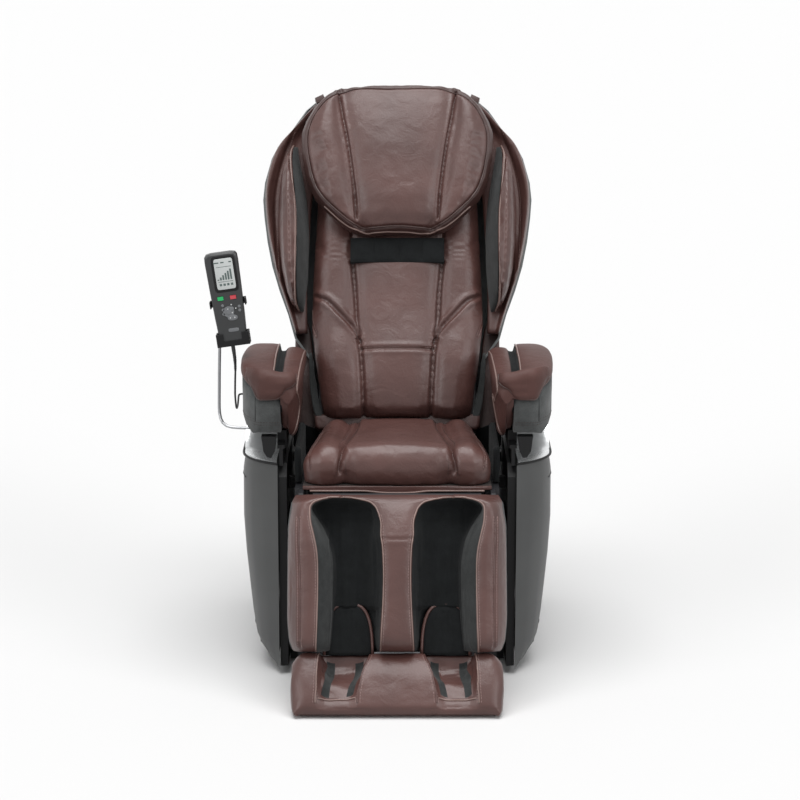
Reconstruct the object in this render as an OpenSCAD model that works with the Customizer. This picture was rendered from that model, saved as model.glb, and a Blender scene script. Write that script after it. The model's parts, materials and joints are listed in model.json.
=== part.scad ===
// Massage chair with calf and foot wells, in millimetres.
// X to the right as seen from the front, Y to the back, Z up, floor at zero.
// Left is minus X. The back reclines, the leg unit swings up, the arms follow the back.

/* [Chair] */
// Width across the side panels at their widest
body_w = 714; // [640:2:820]
// Top of the side panels above the floor
panel_h = 496; // [440:2:560]
// Front of the side panels, from the middle of the base
panel_front = 310; // [280:2:340]
// Rear of the side panels, from the middle of the base
panel_back = 330; // [320:2:380]
// Wall of the side panels
panel_wall = 4; // [3:0.5:6]

/* [Frame] */
// Square tube of the base frame
tube = 30; // [25:1:35]
// Distance of the frame rails from the middle
rail_x = 215; // [205:1:225]
// Top of the seat rails above the floor
seat_frame_z = 447; // [430:1:460]
// Shaft of the backrest, radius
back_shaft_r = 10; // [8:0.5:12]
// Shaft of the leg unit, radius
leg_shaft_r = 8; // [6:0.5:9]

/* [Seat] */
// Depth of the seat cushion
seat_depth = 328; // [300:2:350]
// Height of the seat cushion at its front
seat_h = 78; // [60:1:90]
// Half width of the seat cushion at its front
seat_half = 214; // [200:1:220]
// Depth of the sewn channels of the cushions
seam_d = 8; // [3:0.5:12]

/* [Backrest] */
// Lean of the backrest from upright, degrees
back_lean = 24; // [18:1:28]
// Height of the backrest along its slope
back_h = 886; // [840:2:920]
// Half width of the backrest at its widest
back_half = 326; // [300:1:340]
// Depth of the rear shell
shell_d = 112; // [108:1:135]
// Wall of the rear shell
shell_wall = 5; // [4:0.5:7]
// Half width of the head pillow
pillow_half = 234; // [210:1:250]
// Thickness of the head pillow
pillow_t = 56; // [40:1:75]

/* [Arms] */
// Top of the arm pads above the floor
arm_top_z = 724; // [700:1:750]
// Length of the arms
arm_len = 370; // [340:2:380]

/* [Legs] */
// Lean of the leg unit, feet forward, degrees
leg_lean = 16; // [12:1:20]
// Half width of the leg unit
leg_half = 240; // [225:1:246]
// Length of the calf unit below its shaft
calf_len = 334; // [310:2:345]
// Depth of the calf wells
well_d = 88; // [60:1:92]

/* [Handset] */
// Width of the handset at its top
handset_w = 76; // [60:1:90]
// Length of the handset
handset_l = 212; // [190:2:240]

/* [Hidden] */
$fn = 48;
// Overrun of cuts, running clearance of pins, gap to soft pieces
over = 1;
run_fit = 0.05;
seat_gap = 0.3;
play = 3;
wall_gap = 2;

// Frame
foot_pad_h = 5;
skid_front = 262;
skid_back = 296;
rail_front = 330;
rail_back = 76;
front_cross_y = -290;
rear_cross_y = -12;
rear_post_y = 58;
pan_t = 8;
pan_half = 212;
pan_front = 338;
pan_back = 20;
seat_base_z = seat_frame_z + pan_t;
rail_z = seat_frame_z - tube / 2;
rail_in = rail_x - tube / 2;
rail_out = rail_x + tube / 2;
skid_top = foot_pad_h + tube;
pad_edge = 8;
mid_pad = 60;

// Pivots
back_pivot_y = 60;
back_pivot_z = rail_z;
leg_pivot_y = -372;
leg_pivot_z = rail_z;
ear_t = 10;
ear_r = 14;

// Backrest plane
back_y = -20;
back_z = 480;

// Wheels
wheel_r = 30;
wheel_w = 24;
wheel_y = 344;
wheel_z = 33;
axle_r = 5;
cheek_t = 5;
cheek_r = 13;

module both() {
  children();
  mirror([1, 0, 0]) children();
}
module block(a, b) {
  translate(a) cube(b - a);
}
module rod_x(x0, x1, y, z, r) {
  translate([x0, y, z]) rotate([0, 90, 0]) cylinder(r = r, h = x1 - x0);
}
module rod_y(x, y0, y1, z, r) {
  translate([x, y0, z]) rotate([-90, 0, 0]) cylinder(r = r, h = y1 - y0);
}
// A plate across X whose outline is given in Y and Z
module slab_x(x0, x1, pts) {
  translate([x0, 0, 0]) rotate([90, 0, 90]) linear_extrude(x1 - x0) polygon(pts);
}
// A plate across Y whose outline is given in X and Z
module slab_y(y0, y1, pts) {
  translate([0, y1, 0]) rotate([90, 0, 0]) linear_extrude(y1 - y0) polygon(pts);
}
module slab_z(z0, z1, pts) {
  translate([0, 0, z0]) linear_extrude(z1 - z0) polygon(pts);
}
// The leaning planes: inside, X is across, minus Y is forward and Z is up the slope
module on_back() {
  translate([0, back_y, back_z]) rotate([-back_lean, 0, 0]) children();
}
module on_leg() {
  translate([0, leg_pivot_y, leg_pivot_z]) rotate([-leg_lean, 0, 0]) children();
}
module stand_up() {
  rotate([90, 0, 0]) children();
}
// Box by across, up the slope and forward of the plane
module lean_box(x0, x1, s0, s1, n0, n1) {
  block([x0, -n1, s0], [x1, -n0, s1]);
}
function dome(u, k) = pow(max(0, 1 - pow(abs(u), k)), 1 / k);
function groove(u) = max(0, 1 - abs(u));

// Grids of points: faces of a sheet, its rim, and solids made from them
function join(rows) = [for (r = rows) each r];
function up_faces(n, m, o) = [for (i = [0:n - 2]) for (j = [0:m - 2])
  let (a = o + i * m + j) each [[a, a + m, a + 1], [a + 1, a + m, a + m + 1]]];
function down_faces(n, m, o) = [for (i = [0:n - 2]) for (j = [0:m - 2])
  let (a = o + i * m + j) each [[a, a + 1, a + m], [a + 1, a + m + 1, a + m]]];
function rim(n, m) = concat([for (j = [0:m - 1]) j], [for (i = [1:n - 1]) i * m + m - 1],
  [for (j = [m - 2:-1:0]) (n - 1) * m + j], [for (i = [n - 2:-1:1]) i * m]);
// Solid between two sheets with the same grid
module two_sheets(front, back) {
  n = len(front);
  m = len(front[0]);
  e = rim(n, m);
  c = len(e);
  side = [for (k = [0:c - 1]) let (p = e[k], q = e[(k + 1) % c])
    each [[n * m + p, p, q], [n * m + p, q, n * m + q]]];
  polyhedron(points = concat(join(front), join(back)),
    faces = concat(up_faces(n, m, 0), down_faces(n, m, n * m), side), convexity = 6);
}
// Sewn pad: a sheet with a flat back at height base, its border drawn in by a share
module sewn_pad(front, base, draw_share) {
  n = len(front);
  m = len(front[0]);
  all_p = join(front);
  e = rim(n, m);
  c = len(e);
  mid = [0, (front[0][0][1] + front[n - 1][0][1]) / 2, base];
  cx = [for (k = e) all_p[k][0]];
  mx = (min(cx) + max(cx)) / 2;
  cen = [mx, mid[1], base];
  ring = [for (k = e) [cen[0] + (all_p[k][0] - cen[0]) * draw_share,
    cen[1] + (all_p[k][1] - cen[1]) * draw_share, base]];
  o = n * m;
  side = [for (k = [0:c - 1]) let (l = (k + 1) % c)
    each [[o + k, e[k], e[l]], [o + k, e[l], o + l], [o + k, o + l, o + c]]];
  polyhedron(points = concat(all_p, ring, [cen]),
    faces = concat(up_faces(n, m, 0), side), convexity = 6);
}
// Loft through rings of equal count, closed by flat ends
module ring_loft(rings) {
  n = len(rings);
  m = len(rings[0]);
  wall = [for (i = [0:n - 2]) for (j = [0:m - 1]) let (k = (j + 1) % m, a = i * m)
    each [[a + j, a + m + j, a + k], [a + k, a + m + j, a + m + k]]];
  polyhedron(points = join(rings), faces = concat(wall, [[for (j = [0:m - 1]) j]],
    [[for (j = [m - 1:-1:0]) (n - 1) * m + j]]), convexity = 6);
}
// Base frame: bent and welded square tube with its brackets
act_z = 364;
act_x = 70;
act_plate = 4;
act_half = 13;
act_r = 19;
act_pin_r = 5;
act_front = 250;
leg_act_z = 383;
leg_act_y = -40;
bracket_w = 28;
module ear(x0, x1) {
  difference() {
    slab_x(x0, x1, [[-rail_front, rail_z - ear_r], [-rail_front, rail_z + ear_r],
      [leg_pivot_y, leg_pivot_z + ear_r], [leg_pivot_y - ear_r * 0.7, leg_pivot_z + ear_r * 0.7],
      [leg_pivot_y - ear_r, leg_pivot_z], [leg_pivot_y - ear_r * 0.7, leg_pivot_z - ear_r * 0.7],
      [leg_pivot_y, leg_pivot_z - ear_r]]);
    rod_x(x0 - over, x1 + over, leg_pivot_y, leg_pivot_z, leg_shaft_r);
  }
}
module base_frame() {
  color([0.12, 0.12, 0.13]) {
    both() {
      block([rail_in, -skid_front, foot_pad_h], [rail_out, skid_back, skid_top]);
      block([rail_in, -skid_front, skid_top], [rail_out, tube - skid_front, seat_frame_z - tube]);
      block([rail_in, rear_post_y - tube / 2, skid_top],
        [rail_out, rear_post_y + tube / 2, seat_frame_z - tube]);
      block([rail_in, -rail_front, seat_frame_z - tube], [rail_out, rail_back, seat_frame_z]);
      ear(rail_x - ear_t / 2, rail_x + ear_t / 2);
      // Gusset between the rear post and the rail
      slab_x(rail_x - act_plate / 2, rail_x + act_plate / 2,
        [[rear_post_y - tube / 2, seat_frame_z - tube], [rear_post_y - tube / 2, seat_frame_z - tube * 3],
        [rear_post_y - tube * 2.5, seat_frame_z - tube]]);
      // Wheel cheeks
      for (x = [rail_x - wheel_w / 2 - cheek_t - wall_gap, rail_x + wheel_w / 2 + wall_gap])
        difference() {
          slab_x(x, x + cheek_t, [[skid_back, foot_pad_h + tube / 3], [skid_back, skid_top],
            [wheel_y, wheel_z + cheek_r], [wheel_y + cheek_r, wheel_z + cheek_r / 2],
            [wheel_y + cheek_r, wheel_z - cheek_r / 2], [wheel_y, wheel_z - cheek_r]]);
          rod_x(x - over, x + cheek_t + over, wheel_y, wheel_z, axle_r);
        }
    }
    for (y = [-skid_front + tube / 2, 0, skid_back - tube / 2])
      block([-rail_in, y - tube / 2, foot_pad_h], [rail_in, y + tube / 2, skid_top]);
    for (y = [front_cross_y, rear_cross_y])
      block([-rail_in, y - tube / 2, seat_frame_z - tube], [rail_in, y + tube / 2, seat_frame_z]);
    // Fork of the recline drive under the front cross tube
    for (x = [act_x - act_half - act_plate, act_x + act_half])
      difference() {
        slab_x(x, x + act_plate, [[front_cross_y - tube / 2, seat_frame_z - tube],
          [front_cross_y - tube / 2, act_z + ear_r], [-act_front - ear_r * 0.7, act_z - ear_r],
          [ear_r * 0.7 - act_front, act_z - ear_r], [ear_r - act_front, act_z],
          [front_cross_y + tube / 2, seat_frame_z - tube]]);
        rod_x(x - over, x + act_plate + over, -act_front, act_z, act_pin_r);
      }
    // Fork of the leg drive under the rear cross tube
    for (x = [-act_x - act_half - act_plate, act_half - act_x])
      difference() {
        slab_x(x, x + act_plate, [[rear_cross_y - tube / 2, seat_frame_z - tube],
          [leg_act_y - ear_r, leg_act_z + ear_r * 0.7],
          [leg_act_y - ear_r, leg_act_z - ear_r * 0.7], [leg_act_y + ear_r * 0.5, leg_act_z - ear_r],
          [rear_cross_y + tube / 2, seat_frame_z - tube]]);
        rod_x(x - over, x + act_plate + over, leg_act_y, leg_act_z, act_pin_r);
      }
  }
}
module floor_pads() {
  color([0.08, 0.08, 0.08]) {
    both() {
      block([rail_in, -skid_front, 0], [rail_out, -skid_front + mid_pad, foot_pad_h]);
      block([rail_in, skid_back - mid_pad, 0], [rail_out, skid_back, foot_pad_h]);
    }
    block([-mid_pad / 2, -tube / 2, 0], [mid_pad / 2, tube / 2, foot_pad_h]);
  }
}
module pivot_shafts() {
  color([0.7, 0.7, 0.72]) {
    rod_x(-rail_in, rail_in, back_pivot_y, back_pivot_z, back_shaft_r);
    rod_x(-rail_x - ear_t / 2, rail_x + ear_t / 2, leg_pivot_y, leg_pivot_z, leg_shaft_r);
    rod_x(act_x - act_half - act_plate, act_x + act_half + act_plate, -act_front, act_z, act_pin_r);
    rod_x(-act_x - act_half - act_plate, -act_x + act_half + act_plate, leg_act_y, leg_act_z,
      act_pin_r);
    both() rod_x(rail_x - wheel_w / 2 - cheek_t - wall_gap, rail_x + wheel_w / 2 + cheek_t + wall_gap,
      wheel_y, wheel_z, axle_r);
  }
}
module wheel(side) {
  color([0.1, 0.1, 0.1]) difference() {
    union() {
      rod_x(side * rail_x - wheel_w / 2, side * rail_x + wheel_w / 2, wheel_y, wheel_z,
        wheel_r - wall_gap);
      rod_x(side * rail_x - wheel_w / 4, side * rail_x + wheel_w / 4, wheel_y, wheel_z, wheel_r);
    }
    rod_x(side * rail_x - wheel_w, side * rail_x + wheel_w, wheel_y, wheel_z, axle_r + run_fit);
  }
}
// Pressed seat pan, with an opening for the webbing
pan_web = 46;
module seat_pan() {
  color([0.3, 0.25, 0.2]) difference() {
    block([-pan_half, -pan_front, seat_frame_z], [pan_half, -pan_back, seat_base_z]);
    for (x = [-pan_web * 3, -pan_web, pan_web, pan_web * 3])
      block([x - pan_web / 2, front_cross_y + tube, seat_frame_z - over],
        [x + pan_web / 2, rear_cross_y - tube, seat_base_z + over]);
  }
}
// Seat cushion: stations along its length as shares of depth and height, then the way the
// surface faces (share of a right angle), then its half width and its seam as shares
seat_shares = [[0, 0.02, 1, 0.985, 0.56], [-0.012, 0.22, 1, 0.997, 0.565], [-0.018, 0.45, 0.95, 1, 0.57],
  [-0.01, 0.7, 0.8, 1, 0.575], [0.015, 0.88, 0.6, 1, 0.58], [0.05, 0.97, 0.3, 1, 0.585],
  [0.11, 1, 0.08, 0.995, 0.59], [0.22, 0.985, 0, 0.985, 0.59], [0.38, 0.95, 0, 0.965, 0.59],
  [0.55, 0.92, 0, 0.94, 0.585], [0.72, 0.89, 0, 0.91, 0.565], [0.86, 0.86, 0, 0.885, 0.54],
  [0.95, 0.8, -0.2, 0.87, 0.51], [0.99, 0.62, -0.6, 0.865, 0.49], [1, 0.3, -1, 0.86, 0.48]];
cross_shares = [0, 0.4, 0.75, 0.93, 1, 1.07, 1.25, 1.55, 1.8, 1.93, 2];
seat_crown = 10;
seat_roll = 30;
function mirrored(list) = concat([for (k = [len(list) - 1:-1:1]) [list[k], -1]],
  [for (v = list) [v, 1]]);
function col_x(q, seam, edge) = q <= 1 ? q * seam : seam + (q - 1) * (edge - seam);
function swell(q, crown, roll) = q <= 1 ? crown * (1 - q * q)
  : let (p = q - 1) crown * 3.2 * p * (1 - p) - roll * pow(p, 5);
module seat_cushion() {
  rows = [for (s = seat_shares) [for (c = mirrored(cross_shares))
    let (h = swell(c[0], seat_crown, seat_roll) - seam_d * groove((c[0] - 1) / 0.2), a = 90 * s[2],
      half = seat_half * s[3])
    [c[1] * col_x(c[0], seat_half * s[4], half),
      seat_depth * s[0] - pan_front - h * sin(a),
      max(seat_base_z, seat_base_z + seat_h * s[1] + h * cos(a))]]];
  color([0.42, 0.33, 0.31]) sewn_pad(rows, seat_base_z, 0.99);
}
hem_h = 16;
hem_t = 5;
module seat_hem() {
  color([0.4, 0.31, 0.29]) slab_y(-pan_front - hem_t, -pan_front, [[-pan_half, seat_base_z],
    [-pan_half, seat_base_z - hem_h / 2], [-pan_half * 0.5, seat_base_z - hem_h * 0.8],
    [0, seat_base_z - hem_h], [pan_half * 0.5, seat_base_z - hem_h * 0.8],
    [pan_half, seat_base_z - hem_h / 2], [pan_half, seat_base_z]]);
}
// Side panels: bowed shells, plan outline as shares of half width and of the panel's run
panel_in = 270;
panel_bow_shares = [[0, 0.787], [0.03, 0.845], [0.075, 0.893], [0.13, 0.925], [0.23, 0.945],
  [0.35, 0.962], [0.52, 0.985], [0.7, 1], [0.93, 0.998], [0.97, 0.99], [1, 0.965]];
panel_plan_shares = [[0, 0], [0.35, 0.03], [0.7, 0.08], [0.9, 0.135], [0.975, 0.19], [0.99, 0.28],
  [1, 0.5], [0.99, 0.75], [0.96, 0.88], [0.86, 0.955], [0.6, 0.99], [0, 1]];
panel_floor = 12;
function panel_point(p, out, z, wall) =
  [panel_in + (out - panel_in - wall) * p[0],
   -panel_front + wall + (panel_front + panel_back - 2 * wall) * p[1], z];
module side_panel(side) {
  half = body_w / 2;
  outer = [for (b = panel_bow_shares) [for (p = panel_plan_shares)
    panel_point(p, half * b[1], panel_floor + (panel_h - panel_floor) * b[0], 0)]];
  inner = [for (b = panel_bow_shares) [for (p = panel_plan_shares)
    panel_point(p, half * b[1], panel_floor + (panel_h - panel_floor) * b[0], panel_wall)]];
  color([0.3, 0.3, 0.3]) mirror([side > 0 ? 0 : 1, 0, 0]) two_sheets(outer, inner);
}
// Bright dished trim on top of each panel, the arm's tongue runs over it
trim_t = 3;
trim_in = 273;
deck_z = 540;
dish_y = -158;
deck_y = -88;
deck_back = 112;
trim_edge = 3;
module trim_plan(z0, z1) {
  slab_z(z0, z1, [for (p = panel_plan_shares) if (p[1] > 0.02 && p[1] < 0.6)
    let (q = panel_point(p, body_w / 2 - trim_edge, 0, 0)) [q[0], q[1]]]);
}
module side_trims() {
  low = panel_h + seat_gap;
  step = (deck_z - low - trim_t) / 3;
  color([0.8, 0.8, 0.82]) both() intersection() {
    slab_z(low, deck_z + over, [for (p = panel_plan_shares)
      let (q = panel_point(p, body_w / 2 - trim_edge, 0, 0)) [max(trim_in, q[0]), q[1]]]);
    slab_x(trim_in, body_w / 2, [[-panel_front, low], [-panel_front, low + trim_t],
      [dish_y, low + trim_t], [dish_y + (deck_y - dish_y) * 0.3, low + trim_t + step * 0.5],
      [dish_y + (deck_y - dish_y) * 0.6, low + trim_t + step * 1.4], [deck_y, deck_z - trim_t],
      [deck_y + trim_t, deck_z], [deck_back, deck_z], [deck_back + tube, deck_z - trim_t * 3],
      [deck_back + tube, low], [deck_back, low], [deck_back, deck_z - trim_t],
      [deck_y + trim_t * 3, deck_z - trim_t * 2], [dish_y + (deck_y - dish_y) * 0.7, low + step],
      [dish_y + (deck_y - dish_y) * 0.4, low]]);
  }
}
// Casings between the panels and the leg unit, with the rail that the arm runs on
case_in = 250;
case_t = 18;
case_front = 302;
case_back = 296;
rail_mid = 262;
rail_half = 8;
rail_end = 136;
case_floor = 20;
rail_lip = 4;
module side_casings() {
  color([0.09, 0.09, 0.1]) both() {
    difference() {
      slab_x(case_in, case_in + case_t, [[-case_front, case_floor], [-case_front, panel_h - tube],
        [tube - case_front, panel_h - rail_lip], [case_back - tube, panel_h - rail_lip],
        [case_back, panel_h - tube], [case_back, case_floor]]);
      for (y = [-case_front + tube, case_back * 0.5])
        block([case_in - over, y, case_floor + tube], [case_in + case_t * 0.6, y + tube * 4,
          panel_h - tube * 4]);
    }
    // Stays from the frame's skid and seat rail
    for (y = [tube * 2 - skid_front, rear_post_y], z = [skid_top - tube, seat_frame_z - tube])
      block([rail_out, y, z], [case_in, y + tube * 0.8, z + tube * 0.8]);
    // Rail of the arm, a T in section
    translate([rail_mid, 0, 0]) slab_y(-case_front + over, rail_end, [[-rail_lip, panel_h - rail_lip],
      [rail_lip, panel_h - rail_lip], [rail_lip, deck_z - rail_half], [rail_half, deck_z - rail_half],
      [rail_half, deck_z], [-rail_half, deck_z], [-rail_half, deck_z - rail_half],
      [-rail_lip, deck_z - rail_half]]);
  }
}
cover_y = 300;
cover_t = 4;
cover_low = 70;
cover_high = 436;
cover_half = 246;
cover_rim = 24;
vent_w = 60;
vent_h = 6;
vent_pitch = 14;
vents = 7;
inlet_x = -150;
inlet_z = 120;
inlet_w = 30;
inlet_h = 22;
switch_x = -96;
switch_w = 14;
switch_h = 20;
module rear_cover() {
  corner = cover_rim;
  pts = [[-cover_half, cover_low], [cover_half, cover_low], [cover_half, cover_high - corner],
    [cover_half - corner, cover_high], [corner - cover_half, cover_high],
    [-cover_half, cover_high - corner]];
  color([0.2, 0.2, 0.2]) difference() {
    union() {
      slab_y(cover_y, cover_y + cover_t, pts);
      both() block([cover_half - cover_t, case_back + seat_gap, cover_low], [cover_half, cover_y,
        cover_high - corner]);
      // Feet that seat the cover on the rear cross tube
      both() block([cover_half * 0.4, skid_back, cover_low], [cover_half * 0.4 + tube, cover_y,
        cover_low + tube]);
      both() block([cover_half * 0.4, skid_back, skid_top - tube / 2],
        [cover_half * 0.4 + tube, skid_back + cover_t, cover_low + tube]);
    }
    both() for (k = [0:vents - 1])
      block([cover_half * 0.45, cover_y - over, cover_high - tube * 2 - k * vent_pitch],
        [cover_half * 0.45 + vent_w, cover_y + cover_t + over,
        cover_high - tube * 2 - k * vent_pitch + vent_h]);
    block([inlet_x - inlet_w / 2, cover_y - over, inlet_z - inlet_h / 2],
      [inlet_x + inlet_w / 2, cover_y + cover_t + over, inlet_z + inlet_h / 2]);
    block([switch_x - switch_w / 2, cover_y - over, inlet_z - switch_h / 2],
      [switch_x + switch_w / 2, cover_y + cover_t + over, inlet_z + switch_h / 2]);
  }
}
inlet_d = 24;
inlet_lip = 4;
blade_t = 2;
module power_inlet() {
  color([0.07, 0.07, 0.07]) difference() {
    union() {
      block([inlet_x - inlet_w / 2, cover_y - inlet_d, inlet_z - inlet_h / 2],
        [inlet_x + inlet_w / 2, cover_y + cover_t, inlet_z + inlet_h / 2]);
      slab_y(cover_y + cover_t, cover_y + cover_t + blade_t,
        [[inlet_x - inlet_w / 2 - inlet_lip, inlet_z - inlet_h / 2 - inlet_lip],
        [inlet_x + inlet_w / 2 + inlet_lip, inlet_z - inlet_h / 2 - inlet_lip],
        [inlet_x + inlet_w / 2 + inlet_lip, inlet_z + inlet_h / 2 + inlet_lip],
        [inlet_x - inlet_w / 2 - inlet_lip, inlet_z + inlet_h / 2 + inlet_lip]]);
    }
    difference() {
      slab_y(cover_y - inlet_d * 0.7, cover_y + cover_t + blade_t + over,
        [[inlet_x - inlet_w / 2 + blade_t, inlet_z - inlet_h / 2 + blade_t],
        [inlet_x + inlet_w / 2 - blade_t, inlet_z - inlet_h / 2 + blade_t],
        [inlet_x + inlet_w / 2 - blade_t, inlet_z + inlet_h / 4],
        [inlet_x + inlet_w / 4, inlet_z + inlet_h / 2 - blade_t],
        [inlet_x - inlet_w / 4, inlet_z + inlet_h / 2 - blade_t],
        [inlet_x - inlet_w / 2 + blade_t, inlet_z + inlet_h / 4]]);
      for (x = [-inlet_w / 4, 0, inlet_w / 4])
        block([inlet_x + x - blade_t / 2, cover_y - inlet_d, inlet_z - blade_t * 2],
          [inlet_x + x + blade_t / 2, cover_y, inlet_z + blade_t]);
    }
  }
}
module power_switch() {
  w = switch_w / 2 - seat_gap;
  h = switch_h / 2 - seat_gap * 3;
  color([0.5, 0.1, 0.08]) slab_x(switch_x - w, switch_x + w,
    [[cover_y, inlet_z - h], [cover_y + cover_t, inlet_z - h], [cover_y + cover_t * 0.9, inlet_z],
    [cover_y + cover_t * 1.6, inlet_z + h], [cover_y, inlet_z + h], [cover_y - cover_t, inlet_z]]);
}
box_w = 190;
box_d = 130;
box_h = 60;
box_y = 110;
rib_h = 8;
module control_box() {
  color([0.6, 0.6, 0.62]) difference() {
    union() {
      block([-box_w / 2, box_y, skid_top], [box_w / 2, box_y + box_d, skid_top + box_h]);
      block([-rail_in, box_y + tube, skid_top - rib_h], [rail_in, box_y + box_d - tube, skid_top]);
    }
    for (k = [-3:3])
      block([k * tube / 2 - rib_h / 4, box_y - over, skid_top + box_h - rib_h],
        [k * tube / 2 + rib_h / 4, box_y + box_d + over, skid_top + box_h + over]);
  }
}
pump_r = 38;
pump_l = 150;
pump_y = -150;
port_r = 4;
module air_pump() {
  z = skid_top + pump_r + rib_h;
  color([0.25, 0.27, 0.3]) difference() {
    union() {
      rod_x(-pump_l / 2, pump_l / 2, pump_y, z, pump_r);
      for (x = [-pump_l / 3, 0, pump_l / 3]) rod_x(x - rib_h / 2, x + rib_h / 2, pump_y, z, pump_r + rib_h / 2);
      block([-pump_l / 3, pump_y - pump_r, skid_top], [pump_l / 3, pump_y + pump_r, z - pump_r / 2]);
      block([-rail_in, pump_y - tube / 2, skid_top - rib_h], [rail_in, pump_y + tube / 2, skid_top]);
      for (x = [-pump_l / 4, 0, pump_l / 4]) translate([x, pump_y, z]) cylinder(r = port_r * 1.6,
        h = pump_r + rib_h * 2);
    }
    for (x = [-pump_l / 4, 0, pump_l / 4]) translate([x, pump_y, z + pump_r]) cylinder(r = port_r,
      h = pump_r);
  }
}
// Backrest: outline as shares of height and half width
outline_shares = [[0.04, 0.585], [0.1, 0.605], [0.16, 0.615], [0.225, 0.63], [0.29, 0.755], [0.355, 0.804], [0.423, 0.871],
  [0.491, 0.926], [0.559, 0.963], [0.627, 0.988], [0.68, 1], [0.729, 0.988], [0.798, 0.939],
  [0.833, 0.893], [0.867, 0.813], [0.902, 0.748], [0.937, 0.684], [0.958, 0.62], [0.978, 0.521],
  [0.99, 0.42], [1, 0.3]];
function outline_at(s) = back_half * lookup(s / back_h, outline_shares);
shell_cols = [-1, -0.985, -0.95, -0.88, -0.75, -0.5, -0.2, 0.2, 0.5, 0.75, 0.88, 0.95, 0.985, 1];
shell_depth_shares = [[0.04, 0.96], [0.2, 1], [0.5, 0.95], [0.75, 0.8], [0.9, 0.55], [0.96, 0.36],
  [0.985, 0.2], [1, 0.05]];
function shell_n(u, k, wall) = -max(over, (shell_d - wall) * lookup(k, shell_depth_shares)
  * pow(max(0, 1 - pow(abs(u), 6)), 1 / 3)) - seat_gap;
module back_shell() {
  inner = [for (o = outline_shares) let (s = back_h * o[0]) [for (u = shell_cols)
    [u * (outline_at(s) - shell_wall), s, shell_n(u, o[0], shell_wall)]]];
  outer = [for (o = outline_shares) let (s = back_h * o[0]) [for (u = shell_cols)
    [u * outline_at(s), s, shell_n(u, o[0], 0) - shell_wall]]];
  color([0.36, 0.37, 0.37]) on_back() stand_up() two_sheets(inner, outer);
}
// Steel back frame: two rails for the carriage, cross pieces, face strips, bushes, lever
bar_in = 140;
bar_w = 25;
bar_f = -45;
bar_b = -75;
frame_top = back_h * 0.78104;
strip_f = -0.3;
strip_t = 5;
strip_out = 186;
bush_r = 16;
bush_l = 40;
bush_plate = 12;
lever_r = 70;
lever_t = 6;
lever_half = 10;
pivot_s = (back_pivot_y - back_y) * sin(back_lean) + (back_pivot_z - back_z) * cos(back_lean);
pivot_n = -(back_pivot_y - back_y) * cos(back_lean) + (back_pivot_z - back_z) * sin(back_lean);
back_swing = 40;
lever_y = back_pivot_y + lever_r * sin(back_swing / 2);
lever_z = back_pivot_z - lever_r * cos(back_swing / 2);
strap_n = -96;
module back_frame() {
  mid = bar_in + bar_w / 2;
  color([0.16, 0.16, 0.18]) {
    on_back() {
      both() {
        lean_box(bar_in, bar_in + bar_w, tube, frame_top, bar_b, bar_f);
        for (s = [tube * 2, frame_top * 0.5, frame_top * 0.9])
          lean_box(mid - strip_t, mid + strip_t, s, s + tube, bar_f, strip_f - strip_t);
        lean_box(bar_in - strip_t, strip_out, tube * 2, frame_top * 0.9 + tube, strip_f - strip_t, strip_f);
        // Plate down to the bush
        lean_box(mid - bush_plate / 2, mid + bush_plate / 2, pivot_s + bush_r * 0.9, tube,
          pivot_n - bush_r * 0.5, bar_f);
      }
      lean_box(-bar_in, bar_in, frame_top - tube, frame_top, bar_b, bar_f);
      lean_box(-bar_in, bar_in, tube, tube * 1.6, bar_b, bar_f);
      for (s = [frame_top * 0.3, frame_top * 0.62])
        lean_box(-bar_in - bar_w, bar_in + bar_w, s, s + tube, strap_n, strap_n + strip_t);
      both() for (s = [frame_top * 0.3, frame_top * 0.62])
        lean_box(bar_in, bar_in + bar_w, s, s + tube, strap_n + strip_t, bar_b);
    }
    both() difference() {
      rod_x(mid - bush_l / 2, mid + bush_l / 2, back_pivot_y, back_pivot_z, bush_r);
      rod_x(mid - bush_l, mid + bush_l, back_pivot_y, back_pivot_z, back_shaft_r + run_fit);
    }
    // Tube round the shaft between the rails, carrying the lever
    difference() {
      rod_x(act_x - act_half - lever_t * 2, mid - bush_l / 2, back_pivot_y, back_pivot_z, bush_r - over * 2);
      rod_x(0, mid, back_pivot_y, back_pivot_z, back_shaft_r + run_fit);
    }
    for (x = [act_x - act_half - lever_t / 2, act_x + act_half - lever_t / 2])
      difference() {
        slab_x(x, x + lever_t, [[back_pivot_y - bush_r, back_pivot_z],
          [lever_y - lever_half, lever_z - lever_half * 0.4], [lever_y, lever_z - lever_half],
          [lever_y + lever_half, lever_z - lever_half * 0.4], [lever_y + lever_half, lever_z],
          [back_pivot_y + bush_r, back_pivot_z]]);
        rod_x(x - over, x + lever_t + over, back_pivot_y, back_pivot_z, back_shaft_r + run_fit);
      }
    rod_x(act_x - act_half + lever_t / 2, act_x + act_half - lever_t / 2, lever_y, lever_z, act_pin_r);
  }
}
// Brown padded cover round the back: stations from the lower left over the top to the lower
// right, as shares of height and half width, outer then inner edge
wing_shares = [[0.3, 0.745, 0.3, 0.66], [0.355, 0.79, 0.355, 0.665], [0.423, 0.858, 0.423, 0.665],
  [0.491, 0.913, 0.491, 0.66], [0.559, 0.95, 0.559, 0.65], [0.627, 0.975, 0.627, 0.64],
  [0.68, 0.987, 0.675, 0.635], [0.729, 0.975, 0.715, 0.62], [0.798, 0.926, 0.75, 0.59],
  [0.84, 0.87, 0.775, 0.545], [0.88, 0.77, 0.79, 0.48], [0.92, 0.69, 0.8, 0.41],
  [0.952, 0.605, 0.806, 0.33], [0.976, 0.49, 0.81, 0.25], [0.988, 0.3, 0.812, 0.15],
  [0.992, 0, 0.813, 0]];
wing_across_shares = [[0, 0.25], [0.015, 0.72], [0.05, 1], [0.11, 0.94], [0.17, 0.6], [0.28, 0.46],
  [0.5, 0.42], [0.8, 0.4], [1, 0.3]];
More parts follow.
